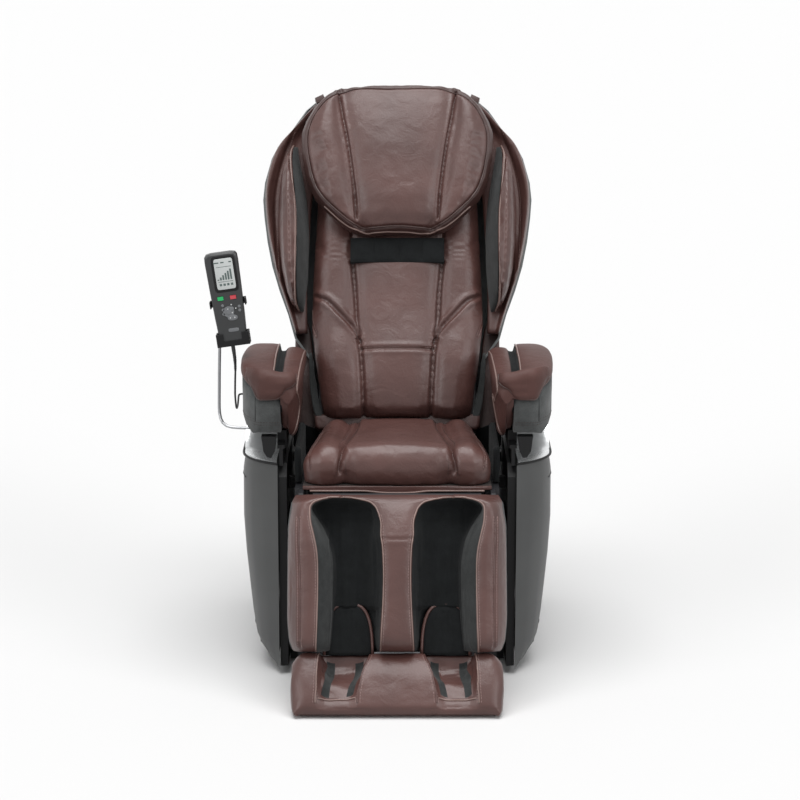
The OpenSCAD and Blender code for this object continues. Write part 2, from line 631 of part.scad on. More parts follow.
wing_h = 36;
module wing_cover() {
  n = len(wing_shares);
  st = concat([for (k = [0:n - 1]) [wing_shares[k], -1]],
    [for (k = [n - 2:-1:0]) [wing_shares[k], 1]]);
  top = [for (w = wing_across_shares) [for (p = st)
    let (o = p[0], s = back_h * (o[0] + (o[2] - o[0]) * w[0]), x = o[1] + (o[3] - o[1]) * w[0])
    [p[1] * back_half * x, s, wing_h * w[1] - over]]];
  base = [for (r = top) [for (p = r) [p[0], p[1], -over]]];
  color([0.4, 0.31, 0.29]) on_back() stand_up() two_sheets([for (k = [len(top) - 1:-1:0]) top[k]],
    [for (k = [len(base) - 1:-1:0]) base[k]]);
}
// Back cushion: share of height, half width and seam as shares of the half width, thickness
cushion_shares = [[0.055, 0.535, 0.24, 0.35], [0.062, 0.545, 0.242, 0.75], [0.08, 0.555, 0.244, 0.98], [0.12, 0.57, 0.247, 1.1],
  [0.17, 0.59, 0.25, 1.2], [0.22, 0.61, 0.262, 1.24], [0.255, 0.62, 0.275, 1.2], [0.3, 0.635, 0.29, 1.1],
  [0.35, 0.64, 0.3, 1.02], [0.41, 0.635, 0.31, 0.97], [0.47, 0.63, 0.325, 0.93], [0.53, 0.625, 0.33, 0.86],
  [0.6, 0.62, 0.33, 0.8], [0.68, 0.605, 0.33, 0.74], [0.74, 0.58, 0.33, 0.64], [0.765, 0.55, 0.33, 0.4]];
cushion_t = 52;
cushion_crown = 9;
cushion_roll = 26;
cross_seam_share = 0.24;
module back_cushion() {
  rows = [for (r = cushion_shares) [for (c = mirrored(cross_shares))
    let (seam = groove((c[0] - 1) / 0.2) + (c[0] < 1 ? 0.8 * groove((r[0] - cross_seam_share) / 0.017) : 0))
    [c[1] * col_x(c[0], back_half * r[2], back_half * r[1]), back_h * r[0],
      max(seat_gap * 4, cushion_t * r[3] + swell(c[0], cushion_crown, cushion_roll) - seam_d * min(1, seam))]]];
  color([0.45, 0.36, 0.34]) on_back() stand_up() sewn_pad(rows, 0, 0.985);
}
// Pleated neck band between pillow and centre panel
neck_low = 0.487;
neck_high = 0.545;
neck_half = 112;
neck_t = 10;
pleats = 4;
neck_base = cushion_t * 0.91 + cushion_crown + seat_gap;
module neck_band() {
  rows = [for (k = [0:2 * pleats]) let (s = back_h * (neck_low + (neck_high - neck_low) * k / (2 * pleats)))
    [for (u = [-1, -0.9, -0.5, 0, 0.5, 0.9, 1])
    [u * neck_half, s, neck_base + neck_t * (k % 2 == 0 ? 0.45 : 1) * (abs(u) == 1 ? 0.4 : 1)]]];
  color([0.1, 0.1, 0.1]) on_back() stand_up() sewn_pad(rows, neck_base, 1);
}
// Head pillow: three sewn sections, share of height, half width share, seam share, thickness
pillow_shares = [[0.548, 0.28, 0.3, 0.1], [0.556, 0.47, 0.36, 0.45], [0.575, 0.58, 0.39, 0.72], [0.602, 0.684, 0.41, 0.9],
  [0.65, 0.855, 0.44, 1], [0.7, 0.935, 0.47, 1], [0.75, 0.972, 0.5, 0.97], [0.8, 0.993, 0.53, 0.93],
  [0.84, 1, 0.56, 0.87], [0.88, 0.95, 0.58, 0.78], [0.92, 0.865, 0.6, 0.66], [0.95, 0.755, 0.605, 0.52], [0.97, 0.61, 0.58, 0.38],
  [0.982, 0.42, 0.42, 0.15]];
pillow_base = cushion_t * 0.842 + cushion_crown + seat_gap;
pillow_crown = 12;
pillow_roll = 34;
pillow_hinge_s = 868;
module head_pillow() {
  rows = [for (r = pillow_shares) [for (c = mirrored(cross_shares))
    let (h = pillow_t * r[3] + swell(c[0], pillow_crown, pillow_roll * r[3]) - seam_d * groove((c[0] - 1) / 0.2))
    [c[1] * col_x(c[0], pillow_half * min(r[2], r[1] * 0.95), pillow_half * r[1]), back_h * r[0],
      pillow_base + max(seat_gap, h)]]];
  color([0.47, 0.38, 0.36]) on_back() stand_up() sewn_pad(rows, pillow_base, 0.985);
}
// Shoulder pads: share of height, inner edge and outer edge as shares of half width, reach
pad_shares = [[0.355, 0.68, 0.735, 0.18], [0.372, 0.665, 0.77, 0.6], [0.41, 0.65, 0.805, 0.85],
  [0.47, 0.64, 0.843, 0.96], [0.54, 0.635, 0.862, 1], [0.61, 0.638, 0.87, 1], [0.68, 0.66, 0.865, 0.94],
  [0.74, 0.69, 0.85, 0.8], [0.79, 0.715, 0.82, 0.55], [0.82, 0.73, 0.772, 0.2]];
pad_lean_share = 0.33;
pad_reach = 100;
pad_base = 18;
face_t = 8;
pad_sec_shares = [[0, 0], [0, 0.8], [0.06, 0.93], [0.22, 1], [0.42, 0.98], [0.64, 0.86], [0.84, 0.6],
  [0.96, 0.3], [1, 0]];
function pad_shift(p, h) = pad_reach * p[3] * pad_lean_share * h;
module shoulder_pad(side) {
  rings = [for (p = pad_shares) let (b = back_half * p[2])
    [for (q = pad_sec_shares) let (a = back_half * p[1] + face_t + seat_gap + pad_shift(p, q[1]))
    [a + (b - a) * q[0], back_h * p[0], pad_base + pad_reach * p[3] * q[1]]]];
  color([0.42, 0.33, 0.31]) mirror([side > 0 ? 0 : 1, 0, 0]) on_back() stand_up() ring_loft(rings);
}
module shoulder_faces() {
  rings = [for (p = pad_shares) [for (q = [[0.6, 0], [0, 0.25], [0, 0.6], [0.5, 0.84], [1, 0.78], [1, 0]])
    [back_half * p[1] + pad_shift(p, q[1]) + face_t * q[0], back_h * p[0], pad_base + pad_reach * p[3] * q[1]]]];
  color([0.3, 0.31, 0.31]) both() on_back() stand_up() ring_loft(rings);
}
// Grey cloth at the hips, beside the low end of the back cushion
hip_h = 26;
module hip_fabrics() {
  gap = wall_gap;
  color([0.28, 0.29, 0.29]) both() on_back() stand_up() translate([0, 0, seat_gap]) linear_extrude(hip_h)
    polygon([[back_half * 0.54 + gap, back_h * 0.062], [back_half * 0.595, back_h * 0.062],
    [back_half * 0.622, back_h * 0.11], [back_half * 0.64, back_h * 0.16], [back_half * 0.644, back_h * 0.24],
    [back_half * 0.62 + gap, back_h * 0.24], [back_half * 0.592 + gap, back_h * 0.17],
    [back_half * 0.571 + gap, back_h * 0.12]]);
}
// Massage mechanism
screw_n = -62;
screw_r = 7;
screw_core = 5.6;
screw_play = 0.3;
screw_low = 60;
screw_high = frame_top * 0.80925;
screw_turns = 26;
motor_w = 46;
motor_l = 56;
carr_s = 300;
carr_w = 128;
beam_h = 34;
beam_f = -49;
beam_b = -59;
shoe_h = 70;
arm_n = -38;
arm_pin_r = 6;
arm_plate = 8;
arm_x = 60;
arm_reach = 56;
roller_r = 22;
roller_w = 26;
roller_pin = 5;
boss_r = 13;
gear_r = 17;
module lead_screw() {
  len_s = screw_high - screw_low;
  color([0.75, 0.75, 0.76]) on_back() translate([0, -screw_n, screw_low]) {
    cylinder(r = screw_core, h = len_s, $fn = 24);
    for (k = [1:screw_turns]) translate([0, 0, len_s * k / (screw_turns + 1)])
      cylinder(r = screw_r, h = len_s / screw_turns / 3, $fn = 24);
  }
}
module screw_motor() {
  s = screw_high + seat_gap;
  color([0.2, 0.2, 0.22]) on_back() {
    difference() {
      lean_box(-motor_w / 2, motor_w / 2, s, s + motor_w * 0.6, screw_n - motor_w / 2, screw_n + motor_w / 2);
      for (x = [-1, 1], n = [-1, 1])
        translate([x * motor_w * 0.4, -screw_n + n * motor_w * 0.4, s - over]) cylinder(r = run_fit * 40, h = motor_w);
    }
    translate([0, -screw_n, s + motor_w * 0.6]) cylinder(r = motor_w * 0.42, h = motor_l);
    // Bracket to the top cross piece
    lean_box(-motor_w / 2, motor_w / 2, s + motor_w * 0.6 + motor_l, frame_top - tube, bar_b + tube * 0.4, bar_f - tube * 0.3);
  }
}
module massage_carriage() {
  color([0.14, 0.14, 0.15]) on_back() difference() {
    union() {
      lean_box(-carr_w, carr_w, carr_s - beam_h / 2, carr_s + beam_h / 2, beam_b, beam_f);
      lean_box(-gear_r * 1.4, gear_r * 1.4, carr_s - gear_r * 1.3, carr_s + gear_r * 1.3, screw_n - boss_r, beam_f);
      both() {
        // Shoes on the rails, boss and pin of the kneading arm, motor with its gear case
        lean_box(carr_w - face_t, bar_in - seat_gap, carr_s - shoe_h / 2, carr_s + shoe_h / 2,
          bar_b + wall_gap, bar_f - over);
        slab_x(arm_x - boss_r, arm_x - wall_gap, [[-beam_f, carr_s - beam_h / 2],
          [-arm_n - boss_r * 0.5, carr_s - boss_r * 0.5], [-arm_n - boss_r * 0.5, carr_s + boss_r * 0.5],
          [-beam_f, carr_s + beam_h / 2]]);
        rod_x(arm_x - boss_r, arm_x - wall_gap, -arm_n, carr_s, boss_r);
        rod_x(arm_x - wall_gap, arm_x + arm_plate + wall_gap, -arm_n, carr_s, arm_pin_r);
        translate([arm_x * 1.45, -beam_b, carr_s]) rotate([-90, 0, 0]) cylinder(r = gear_r, h = gear_r);
      }
    }
    translate([0, -screw_n, carr_s - shoe_h]) cylinder(r = screw_r + screw_play, h = 2 * shoe_h);
  }
}
// Kneading arm: a bowed plate with a pin at each end for its roller
module knead_arm(side) {
  color([0.62, 0.63, 0.65]) mirror([side > 0 ? 0 : 1, 0, 0]) on_back() {
    difference() {
      slab_x(arm_x, arm_x + arm_plate, concat(
        [for (a = [-60:20:60]) [-arm_n - roller_pin * 1.9 * sin(a), carr_s + arm_reach + roller_pin * 1.9 * cos(a)]],
        [[-arm_n - boss_r * 0.9, carr_s + boss_r], [-arm_n - boss_r, carr_s], [-arm_n - boss_r * 0.9, carr_s - boss_r]],
        [for (a = [-60:20:60]) [-arm_n + roller_pin * 1.9 * sin(a) , carr_s - arm_reach - roller_pin * 1.9 * cos(a)]],
        [[-arm_n + boss_r * 0.6, carr_s - boss_r], [-arm_n + boss_r * 0.6, carr_s + boss_r]]));
      rod_x(arm_x - over, arm_x + arm_plate + over, -arm_n, carr_s, arm_pin_r + run_fit);
    }
    for (d = [-1, 1]) rod_x(arm_x + arm_plate, arm_x + arm_plate + roller_w + 2 * wall_gap,
      -arm_n, carr_s + d * arm_reach, roller_pin);
  }
}
module massage_roller(side, up) {
  x0 = arm_x + arm_plate + wall_gap / 2;
  color([0.55, 0.3, 0.2]) mirror([side > 0 ? 0 : 1, 0, 0]) on_back()
    translate([x0, -arm_n, carr_s + up * arm_reach]) rotate([0, 90, 0]) rotate_extrude()
    polygon([[roller_pin + run_fit, 0], [roller_r * 0.72, 0], [roller_r * 0.9, roller_w * 0.14],
    [roller_r, roller_w * 0.36], [roller_r, roller_w * 0.64], [roller_r * 0.9, roller_w * 0.86],
    [roller_r * 0.72, roller_w], [roller_pin + run_fit, roller_w]]);
}
// Leg unit: frame behind the covers, on the leg shaft
cover_f = 16;
calf_top = 8;
calf_skin = 10;
leg_rail_in = 150;
leg_rail_w = 20;
hub_r = 14;
hub_half = 188;
leg_lever_r = 55;
leg_swing = 75;
leg_lever_y = leg_pivot_y + leg_lever_r * sin(leg_swing / 2);
leg_lever_z = leg_pivot_z - leg_lever_r * cos(leg_swing / 2);
guide_in = 118;
foot_rod_r = 7;
foot_rod_x = 134;
foot_rod_top = 150;
foot_gap = 5;
module leg_frame() {
  color([0.13, 0.13, 0.14]) {
    difference() {
      union() {
        rod_x(-hub_half, hub_half, leg_pivot_y, leg_pivot_z, hub_r);
        on_leg() {
          both() lean_box(leg_rail_in, leg_rail_in + leg_rail_w, -calf_len + tube, -hub_r * 0.5,
            -leg_rail_w / 2, leg_rail_w / 2);
          for (t = [calf_len * 0.5, calf_len * 0.85])
            lean_box(-leg_rail_in, leg_rail_in, -t, leg_rail_w * 0.8 - t, -leg_rail_w / 2, leg_rail_w / 2);
          // Guide blocks of the foot rods, spacers that carry the calf cover
          both() for (t = [calf_len * 0.5, calf_len * 0.85])
            lean_box(guide_in, leg_rail_in, -t - foot_gap, leg_rail_w - t, -leg_rail_w / 2, leg_rail_w / 2);
          both() for (t = [calf_len * 0.25, calf_len * 0.7])
            lean_box(leg_rail_in, leg_rail_in + leg_rail_w, -t, leg_rail_w - t, leg_rail_w / 2, cover_f);
        }
        for (x = [-act_x - act_half - lever_t / 2, act_half - act_x - lever_t / 2])
          slab_x(x, x + lever_t, [[leg_pivot_y - hub_r * 0.5, leg_pivot_z - hub_r * 0.7],
            [leg_lever_y - lever_half, leg_lever_z - lever_half * 0.5], [leg_lever_y, leg_lever_z - lever_half],
            [leg_lever_y + lever_half, leg_lever_z - lever_half * 0.3],
            [leg_lever_y + lever_half, leg_lever_z + lever_half * 0.5], [leg_pivot_y + hub_r, leg_pivot_z]]);
      }
      rod_x(-hub_half - over, hub_half + over, leg_pivot_y, leg_pivot_z, leg_shaft_r + run_fit);
      on_leg() both() translate([foot_rod_x, 0, -calf_len]) cylinder(r = foot_rod_r + run_fit, h = calf_len - over * 3);
    }
    rod_x(-act_x - act_half + lever_t / 2, -act_x + act_half - lever_t / 2, leg_lever_y, leg_lever_z, act_pin_r);
  }
}
// Calf cover: share of length from the bottom, outer half width, well's inner and outer edge
calf_shares = [[0, 0.945, 0.155, 0.735, 0.93, 1], [0.02, 0.965, 0.155, 0.74, 0.97, 1], [0.06, 0.985, 0.152, 0.745, 1, 1],
  [0.2, 1, 0.142, 0.76, 1, 1], [0.4, 1, 0.135, 0.775, 1, 1], [0.6, 0.998, 0.135, 0.79, 1, 1], [0.76, 0.993, 0.142, 0.795, 1, 0.97],
  [0.85, 0.985, 0.15, 0.79, 1, 0.88], [0.91, 0.975, 0.16, 0.78, 0.99, 0.7], [0.95, 0.965, 0.17, 0.77, 0.965, 0.42],
  [0.972, 0.955, 0.18, 0.76, 0.92, 0.14], [0.985, 0.945, 0.18, 0.76, 0.86, 0], [1, 0.93, 0.18, 0.76, 0.72, 0]];
calf_q_shares = [0, 0.5, 0.85, 1, 1.02, 1.07, 1.16, 1.3, 1.5, 1.7, 1.84, 1.93, 1.98, 2, 2.2, 2.55, 2.8, 2.93, 3];
ridge_drop = 12;
side_roll = 46;
well_power = 3.4;
function band_x(q, a, b, c) = q <= 1 ? q * a : q <= 2 ? a + (q - 1) * (b - a) : b + (q - 2) * (c - b);
function well_f(q, top, depth, drop, roll) =
  q <= 1 ? top - drop * pow(q, 4)
  : q <= 2 ? top - drop - depth * dome(2 * q - 3, well_power)
  : let (w = q - 2) top - drop * pow(1 - w, 3) - roll * pow(w, 5);
module calf_cover() {
  run = calf_len + calf_top;
  rows = [for (r = calf_shares) [for (c = mirrored(calf_q_shares))
    [c[1] * band_x(c[0], leg_half * r[2], leg_half * r[3], leg_half * r[1]), run * r[0] - calf_len,
      cover_f + (calf_skin + well_d) * r[4] + min(0, well_f(c[0], 0, well_d * r[5] * r[4], ridge_drop, side_roll))]]];
  color([0.4, 0.32, 0.3]) on_leg() stand_up() sewn_pad(rows, cover_f, 1);
}
// Foot unit: heights over the floor along its run from toe to heel
foot_low = 8;
foot_toe = -612;
foot_heel = -444;
foot_half = 231;
foot_rise_share = 1.18987;
// The foot unit fills what the calf unit leaves over the floor
foot_top = (leg_pivot_z - calf_len * cos(leg_lean)) * foot_rise_share;
foot_split = 3;
foot_shares = [[0, 0.955, 0.37, 0.77, 0.2, 0.22, 0.12, 0.1], [0.02, 0.965, 0.37, 0.77, 0.3, 0.3, 0.2, 0.16], [0.07, 0.98, 0.365, 0.765, 0.4, 0.39, 0.27, 0.2],
  [0.14, 0.99, 0.355, 0.765, 0.52, 0.5, 0.3, 0.29], [0.22, 1, 0.335, 0.76, 0.7, 0.64, 0.31, 0.33], [0.3, 1, 0.31, 0.755, 0.86, 0.77, 0.36, 0.37],
  [0.38, 1, 0.285, 0.75, 0.95, 0.88, 0.41, 0.42], [0.48, 1, 0.265, 0.745, 0.93, 0.925, 0.47, 0.49], [0.58, 1, 0.25, 0.74, 0.89, 0.89, 0.55, 0.56],
  [0.63, 1, 0.25, 0.74, 0.87, 0.87, 0.62, 0.61], [0.655, 1, 0.25, 0.74, 0.832, 0.832, 0.832, 0.83],
  [0.82, 1, 0.25, 0.74, 0.771, 0.771, 0.771, 0.77], [1, 0.985, 0.25, 0.74, 0.705, 0.705, 0.705, 0.7]];
foot_q_shares = [0, 0.5, 0.85, 1, 1.04, 1.12, 1.25, 1.5, 1.75, 1.88, 1.96, 2, 2.25, 2.6, 2.85, 3];
foot_roll = 20;
roller_well = 30;
foot_roller_r = 13;
foot_roller_l = 72;
foot_roller_y = -556;
foot_roller_z = foot_top * 4 / 11;
foot_roller_x = 118;
foot_axle_r = 4;
function foot_z(q, r) = let (side = foot_top * r[4], hump = foot_top * r[5], sole = foot_top * r[6])
  q <= 1 ? hump - ridge_drop * 0.5 * pow(q, 4)
  : q <= 2 ? let (v = 2 * q - 3, edge = q < 1.5 ? hump - ridge_drop * 0.5 : side)
    edge - max(0, edge - sole) * dome(v, well_power)
  : side - min(foot_roll, side * 0.6) * pow(q - 2, 5);
module foot_cover() {
  rows = [for (r = foot_shares) [for (c = mirrored(foot_q_shares))
    [c[1] * band_x(c[0], foot_half * r[2], foot_half * r[3], foot_half * r[1]),
      foot_toe + (foot_heel - foot_toe) * r[0], foot_z(c[0], r)]]];
  color([0.35, 0.28, 0.27]) difference() {
    sewn_pad(rows, foot_low, 1);
    both() {
      block([foot_roller_x - foot_roller_l / 2 - wall_gap, foot_roller_y - foot_roller_r - wall_gap, foot_roller_z - foot_roller_r - wall_gap],
        [foot_roller_x + foot_roller_l / 2 + wall_gap, foot_roller_y + foot_roller_r + wall_gap, foot_top]);
      rod_x(foot_roller_x - foot_roller_l / 2 - ear_t, foot_roller_x + foot_roller_l / 2 + ear_t, foot_roller_y, foot_roller_z,
        foot_axle_r + run_fit);
    }
  }
}
// Frame of the foot unit: rods that slide in the leg frame, and a yoke on the cover's heel
yoke_t = 6;
module foot_frame() {
  t0 = calf_len + foot_gap;
  color([0.7, 0.7, 0.72]) on_leg() {
    both() translate([foot_rod_x, 0, -t0]) cylinder(r = foot_rod_r, h = t0 - foot_rod_top);
    lean_box(-foot_rod_x - hub_r, foot_rod_x + hub_r, -t0 - yoke_t, -t0, -hub_r, hub_r);
  }
}
// Heel panels: padded boards that stand up into the calf wells
heel_in = 54;
heel_out = 161;
heel_high = 112;
heel_f = 31;
heel_t = 16;
module foot_liners() {
  mid = (heel_in + heel_out) / 2;
  half = (heel_out - heel_in) / 2;
  t0 = calf_len + foot_gap + yoke_t;
  color([0.26, 0.27, 0.27]) both() on_leg() stand_up() ring_loft(
    [for (k = [0, 0.3, 0.55, 0.75, 0.88, 0.96, 1]) let (w = half * (k == 0 ? 1 : max(0.3, dome(k, 3.2))), th = heel_t * (1 - 0.5 * pow(k, 4)))
    [for (q = [[-1, 0], [-0.98, 0.5], [-0.8, 0.8], [-0.4, 0.7], [0, 0.62], [0.4, 0.7], [0.8, 0.8], [0.98, 0.5], [1, 0]])
      [mid + w * q[0], k * heel_high - t0, heel_f + th * q[1] * 1.25]]]);
}
module foot_roller(side) {
  ribs = 6;
  x0 = side * foot_roller_x;
  color([0.2, 0.2, 0.2]) {
    rod_x(x0 - foot_roller_l / 2 - ear_t + seat_gap, x0 + foot_roller_l / 2 + ear_t - seat_gap, foot_roller_y, foot_roller_z,
      foot_axle_r);
    translate([x0 - foot_roller_l / 2, foot_roller_y, foot_roller_z]) rotate([0, 90, 0]) rotate_extrude()
      polygon(concat([[0, 0]], [for (k = [0:ribs - 1]) each [[foot_roller_r * 0.84, foot_roller_l * (k + 0.12) / ribs],
      [foot_roller_r, foot_roller_l * (k + 0.35) / ribs], [foot_roller_r, foot_roller_l * (k + 0.65) / ribs],
      [foot_roller_r * 0.84, foot_roller_l * (k + 0.88) / ribs]]], [[0, foot_roller_l]]));
  }
}
// Drives: motor and outer tube with a bore for the rod
drive_l = 226;
drive_bore_l = 150;
rod_r = 9;
eye_r = 14;
eye_bore = 8;
eye_half = 8;
motor_r = 24;
module drive(x, y, z, way) {
  difference() {
    union() {
      rod_y(x, min(y + way * drive_l, y + way * ear_r), max(y + way * drive_l, y + way * ear_r), z, act_r);
      rod_x(x - act_half + seat_gap, x + act_half - seat_gap, y, z, ear_r - over * 2);
      block([x - act_half + seat_gap, min(y, y + way * ear_r * 1.5), z - ear_r * 0.7],
        [x + act_half - seat_gap, max(y, y + way * ear_r * 1.5), z + ear_r * 0.7]);
      translate([x, y + way * (ear_r * 1.4 + motor_r), z - motor_r * 2.8]) cylinder(r = motor_r, h = motor_r * 2.4);
      block([x - motor_r, min(y + way * ear_r * 1.4, y + way * (ear_r * 1.4 + motor_r * 2)), z - act_r],
        [x + motor_r, max(y + way * ear_r * 1.4, y + way * (ear_r * 1.4 + motor_r * 2)), z + act_r * 0.6]);
    }
    rod_x(x - bracket_w, x + bracket_w, y, z, act_pin_r + run_fit);
    rod_y(x, min(y + way * (drive_l + over), y + way * (drive_l - drive_bore_l)),
      max(y + way * (drive_l + over), y + way * (drive_l - drive_bore_l)), z, rod_r + run_fit);
  }
}
module recline_actuator() {
  color([0.2, 0.21, 0.23]) drive(act_x, -act_front, act_z, 1);
}
module leg_actuator() {
  color([0.2, 0.21, 0.23]) drive(-act_x, leg_act_y, leg_act_z, -1);
}
rod_in = 66;
module recline_rod() {
  color([0.75, 0.75, 0.77]) difference() {
    union() {
      rod_y(act_x, -act_front + drive_l - rod_in, lever_y - eye_r * 0.6, act_z, rod_r);
      rod_x(act_x - eye_half, act_x + eye_half, lever_y, act_z, eye_r);
    }
    rod_x(act_x - bracket_w, act_x + bracket_w, lever_y, act_z, eye_bore);
  }
}
slot_h = 6;
module leg_rod() {
  color([0.75, 0.75, 0.77]) difference() {
    union() {
      rod_y(-act_x, leg_lever_y + eye_r * 0.6, leg_act_y - drive_l + rod_in, leg_act_z, rod_r);
      for (d = [-slot_h, slot_h]) rod_x(-act_x - eye_half, eye_half - act_x, leg_lever_y, leg_act_z + d, eye_r);
      block([-act_x - eye_half, leg_lever_y - eye_r, leg_act_z - slot_h], [eye_half - act_x, leg_lever_y + eye_r, leg_act_z + slot_h]);
    }
    for (d = [-slot_h, slot_h]) rod_x(-act_x - bracket_w, bracket_w - act_x, leg_lever_y, leg_act_z + d, eye_bore);
    block([-act_x - bracket_w, leg_lever_y - eye_bore, leg_act_z - slot_h], [bracket_w - act_x, leg_lever_y + eye_bore, leg_act_z + slot_h]);
  }
}
// Arms: stations as shares of length from the front, drop of the top as a share of pad
// thickness, inner and outer edge as shares of the outer half width, low edge of the inner pad
arm_front = -332;
arm_outer = 358;
arm_pad_t = 25;
arm_low = 538;
arm_bottom = 563;
arm_shell_in = 262;
arm_web_in = 246;
slot_in = 259;
slot_out = 276;
slot_depth = 19;
arm_shares = [[0, 1.9, 0.66, 0.835, 0.62], [0.012, 1.45, 0.637, 0.87, 0.5], [0.06, 1.08, 0.62, 0.915, 0.36], [0.14, 0.75, 0.606, 0.955, 0.16],
  [0.25, 0.4, 0.598, 0.985, 0.03], [0.42, 0.1, 0.595, 1, 0], [0.62, 0, 0.595, 1, 0], [0.8, 0.06, 0.595, 0.985, 0],
  [0.92, 0.3, 0.596, 0.962, 0.03], [0.985, 0.62, 0.605, 0.93, 0.1], [1, 0.95, 0.62, 0.9, 0.16]];
function arm_top(r) = arm_top_z - arm_pad_t * r[1];
module arm_pads(side) {
  rings = [for (r = arm_shares) let (y = arm_front + arm_len * r[0], t = arm_top(r), xo = arm_outer * r[3],
    xi = arm_outer * r[2], b = t - arm_pad_t, low = arm_low + (arm_top_z - arm_low) * r[4],
    mid = min(b - arm_pad_t * 0.5, low + (b - low) * 0.75), w = min(arm_web_in, slot_in),
    step = min(arm_bottom - seat_gap, b - arm_pad_t))
    [for (p = [[xo, b], [xo + over, b + arm_pad_t * 0.4], [xo - over * 3, b + arm_pad_t * 0.75], [xo - arm_pad_t * 0.6, b + arm_pad_t * 0.95],
      [(xo + slot_out) / 2, t], [slot_out + over * 3, b + arm_pad_t * 0.94], [slot_out, b + arm_pad_t * 0.8],
      [slot_out - wall_gap, t - slot_depth], [slot_in + wall_gap, t - slot_depth], [slot_in, b + arm_pad_t * 0.66],
      [(slot_in + xi) / 2, b + arm_pad_t * 0.7], [xi + wall_gap * 3, b + arm_pad_t * 0.5], [xi, b],
      [xi + wall_gap, mid + (b - mid) * 0.4], [xi + wall_gap * 3.5, mid], [xi + wall_gap * 6, mid - (mid - low) * 0.5],
      [xi + wall_gap * 8, low + wall_gap * 2], [w - wall_gap, low], [w, low + wall_gap],
      [w, max(step, low + wall_gap * 2)], [arm_shell_in - seat_gap, max(step, low + wall_gap * 2) + wall_gap],
      [arm_shell_in - seat_gap, b]]) [p[0], y, p[1]]]];
  color([0.4, 0.31, 0.29]) mirror([side > 0 ? 0 : 1, 0, 0]) ring_loft([for (r = rings) [for (k = [len(r) - 1:-1:0]) r[k]]]);
}
arm_bevel = 44;
arm_bevel_h = 55;
arm_shell_front = 8;
module arm_shell(side) {
  f = arm_front + arm_shell_front;
  e = arm_front + arm_len;
  top = [for (k = [1:len(arm_shares) - 2]) let (r = arm_shares[k]) [max(f, arm_front + arm_len * r[0]), arm_top(r) - arm_pad_t - seat_gap]];
  plan = [for (k = [1:len(arm_shares) - 2]) let (r = arm_shares[k]) [arm_outer * r[3] - wall_gap, max(f, arm_front + arm_len * r[0])]];
  color([0.27, 0.28, 0.28]) mirror([side > 0 ? 0 : 1, 0, 0]) {
    difference() {
      intersection() {
        slab_y(f - over, e, [[arm_shell_in, arm_bottom], [arm_outer - arm_bevel, arm_bottom],
          [arm_outer - arm_bevel * 0.4, arm_bottom + arm_bevel_h * 0.35], [arm_outer - arm_bevel * 0.1, arm_bottom + arm_bevel_h * 0.75],
          [arm_outer, arm_bottom + arm_bevel_h * 1.2], [arm_outer, arm_top_z], [arm_shell_in, arm_top_z]]);
        slab_z(arm_bottom - over, arm_top_z, concat([[arm_shell_in, f]], plan, [[arm_shell_in, e - arm_shell_front]]));
        slab_x(arm_shell_in - over, arm_outer + over, concat([[f, arm_bottom + arm_bevel_h * 0.25], [f + tube, arm_bottom]], [[e - tube, arm_bottom],
          [e - arm_shell_front, arm_bottom + tube]], [for (k = [len(top) - 1:-1:0]) top[k]]));
      }
      // Grip under the hand slot
      block([slot_in, f + tube, arm_top_z - arm_pad_t * 3], [slot_out, f + tube * 4, arm_top_z]);
    }
    if (side < 0) rod_x(gland_x - gland_l, gland_x, gland_y, gland_z, gland_r);
  }
}
gland_x = 362;
gland_y = -24;
gland_z = 600;
gland_r = 6;
gland_l = 34;
shoe_half = 10.5;
shoe_front = -250;
shoe_back = -30;
shoe_floor = 522;
shoe_play = 0.4;
fin_x = 286;
fin_half = 15;
fin_z = 514;
fin_front = -316;
fin_back = -288;
module arm_shoe(side) {
  color([0.08, 0.08, 0.08]) mirror([side > 0 ? 0 : 1, 0, 0]) {
    difference() {
      block([rail_mid - shoe_half, shoe_front, shoe_floor], [rail_mid + shoe_half, shoe_back, arm_bottom]);
      block([rail_mid - rail_half - shoe_play, shoe_front - over, deck_z - rail_half - shoe_play],
        [rail_mid + rail_half + shoe_play, shoe_back + over, deck_z + seat_gap]);
      block([rail_mid - rail_lip - shoe_play, shoe_front - over, shoe_floor - over],
        [rail_mid + rail_lip + shoe_play, shoe_back + over, deck_z]);
    }
    slab_y(fin_front, fin_back, [[fin_x - fin_half, arm_bottom], [fin_x - fin_half * 0.7, fin_z + (arm_bottom - fin_z) * 0.3],
      [fin_x - fin_half * 0.2, fin_z], [fin_x + fin_half * 0.4, fin_z + over], [fin_x + fin_half, fin_z + (arm_bottom - fin_z) * 0.3],
      [fin_x + fin_half * 1.3, arm_bottom]]);
  }
}
// Tube of even thickness along hand-chosen points
function unit(v) = v / norm(v);
function way_at(p, k) = k == 0 ? unit(p[1] - p[0]) : k == len(p) - 1 ? unit(p[k] - p[k - 1])
  : unit(unit(p[k] - p[k - 1]) + unit(p[k + 1] - p[k]));
module swept_tube(p, r, sides, ref) {
  ring_loft([for (k = [0:len(p) - 1]) let (t = way_at(p, k), a = unit(ref - (ref * t) * t), b = cross(t, a))
    [for (j = [0:sides - 1]) p[k] + r * (a * cos(360 * j / sides) + b * sin(360 * j / sides))]]);
}
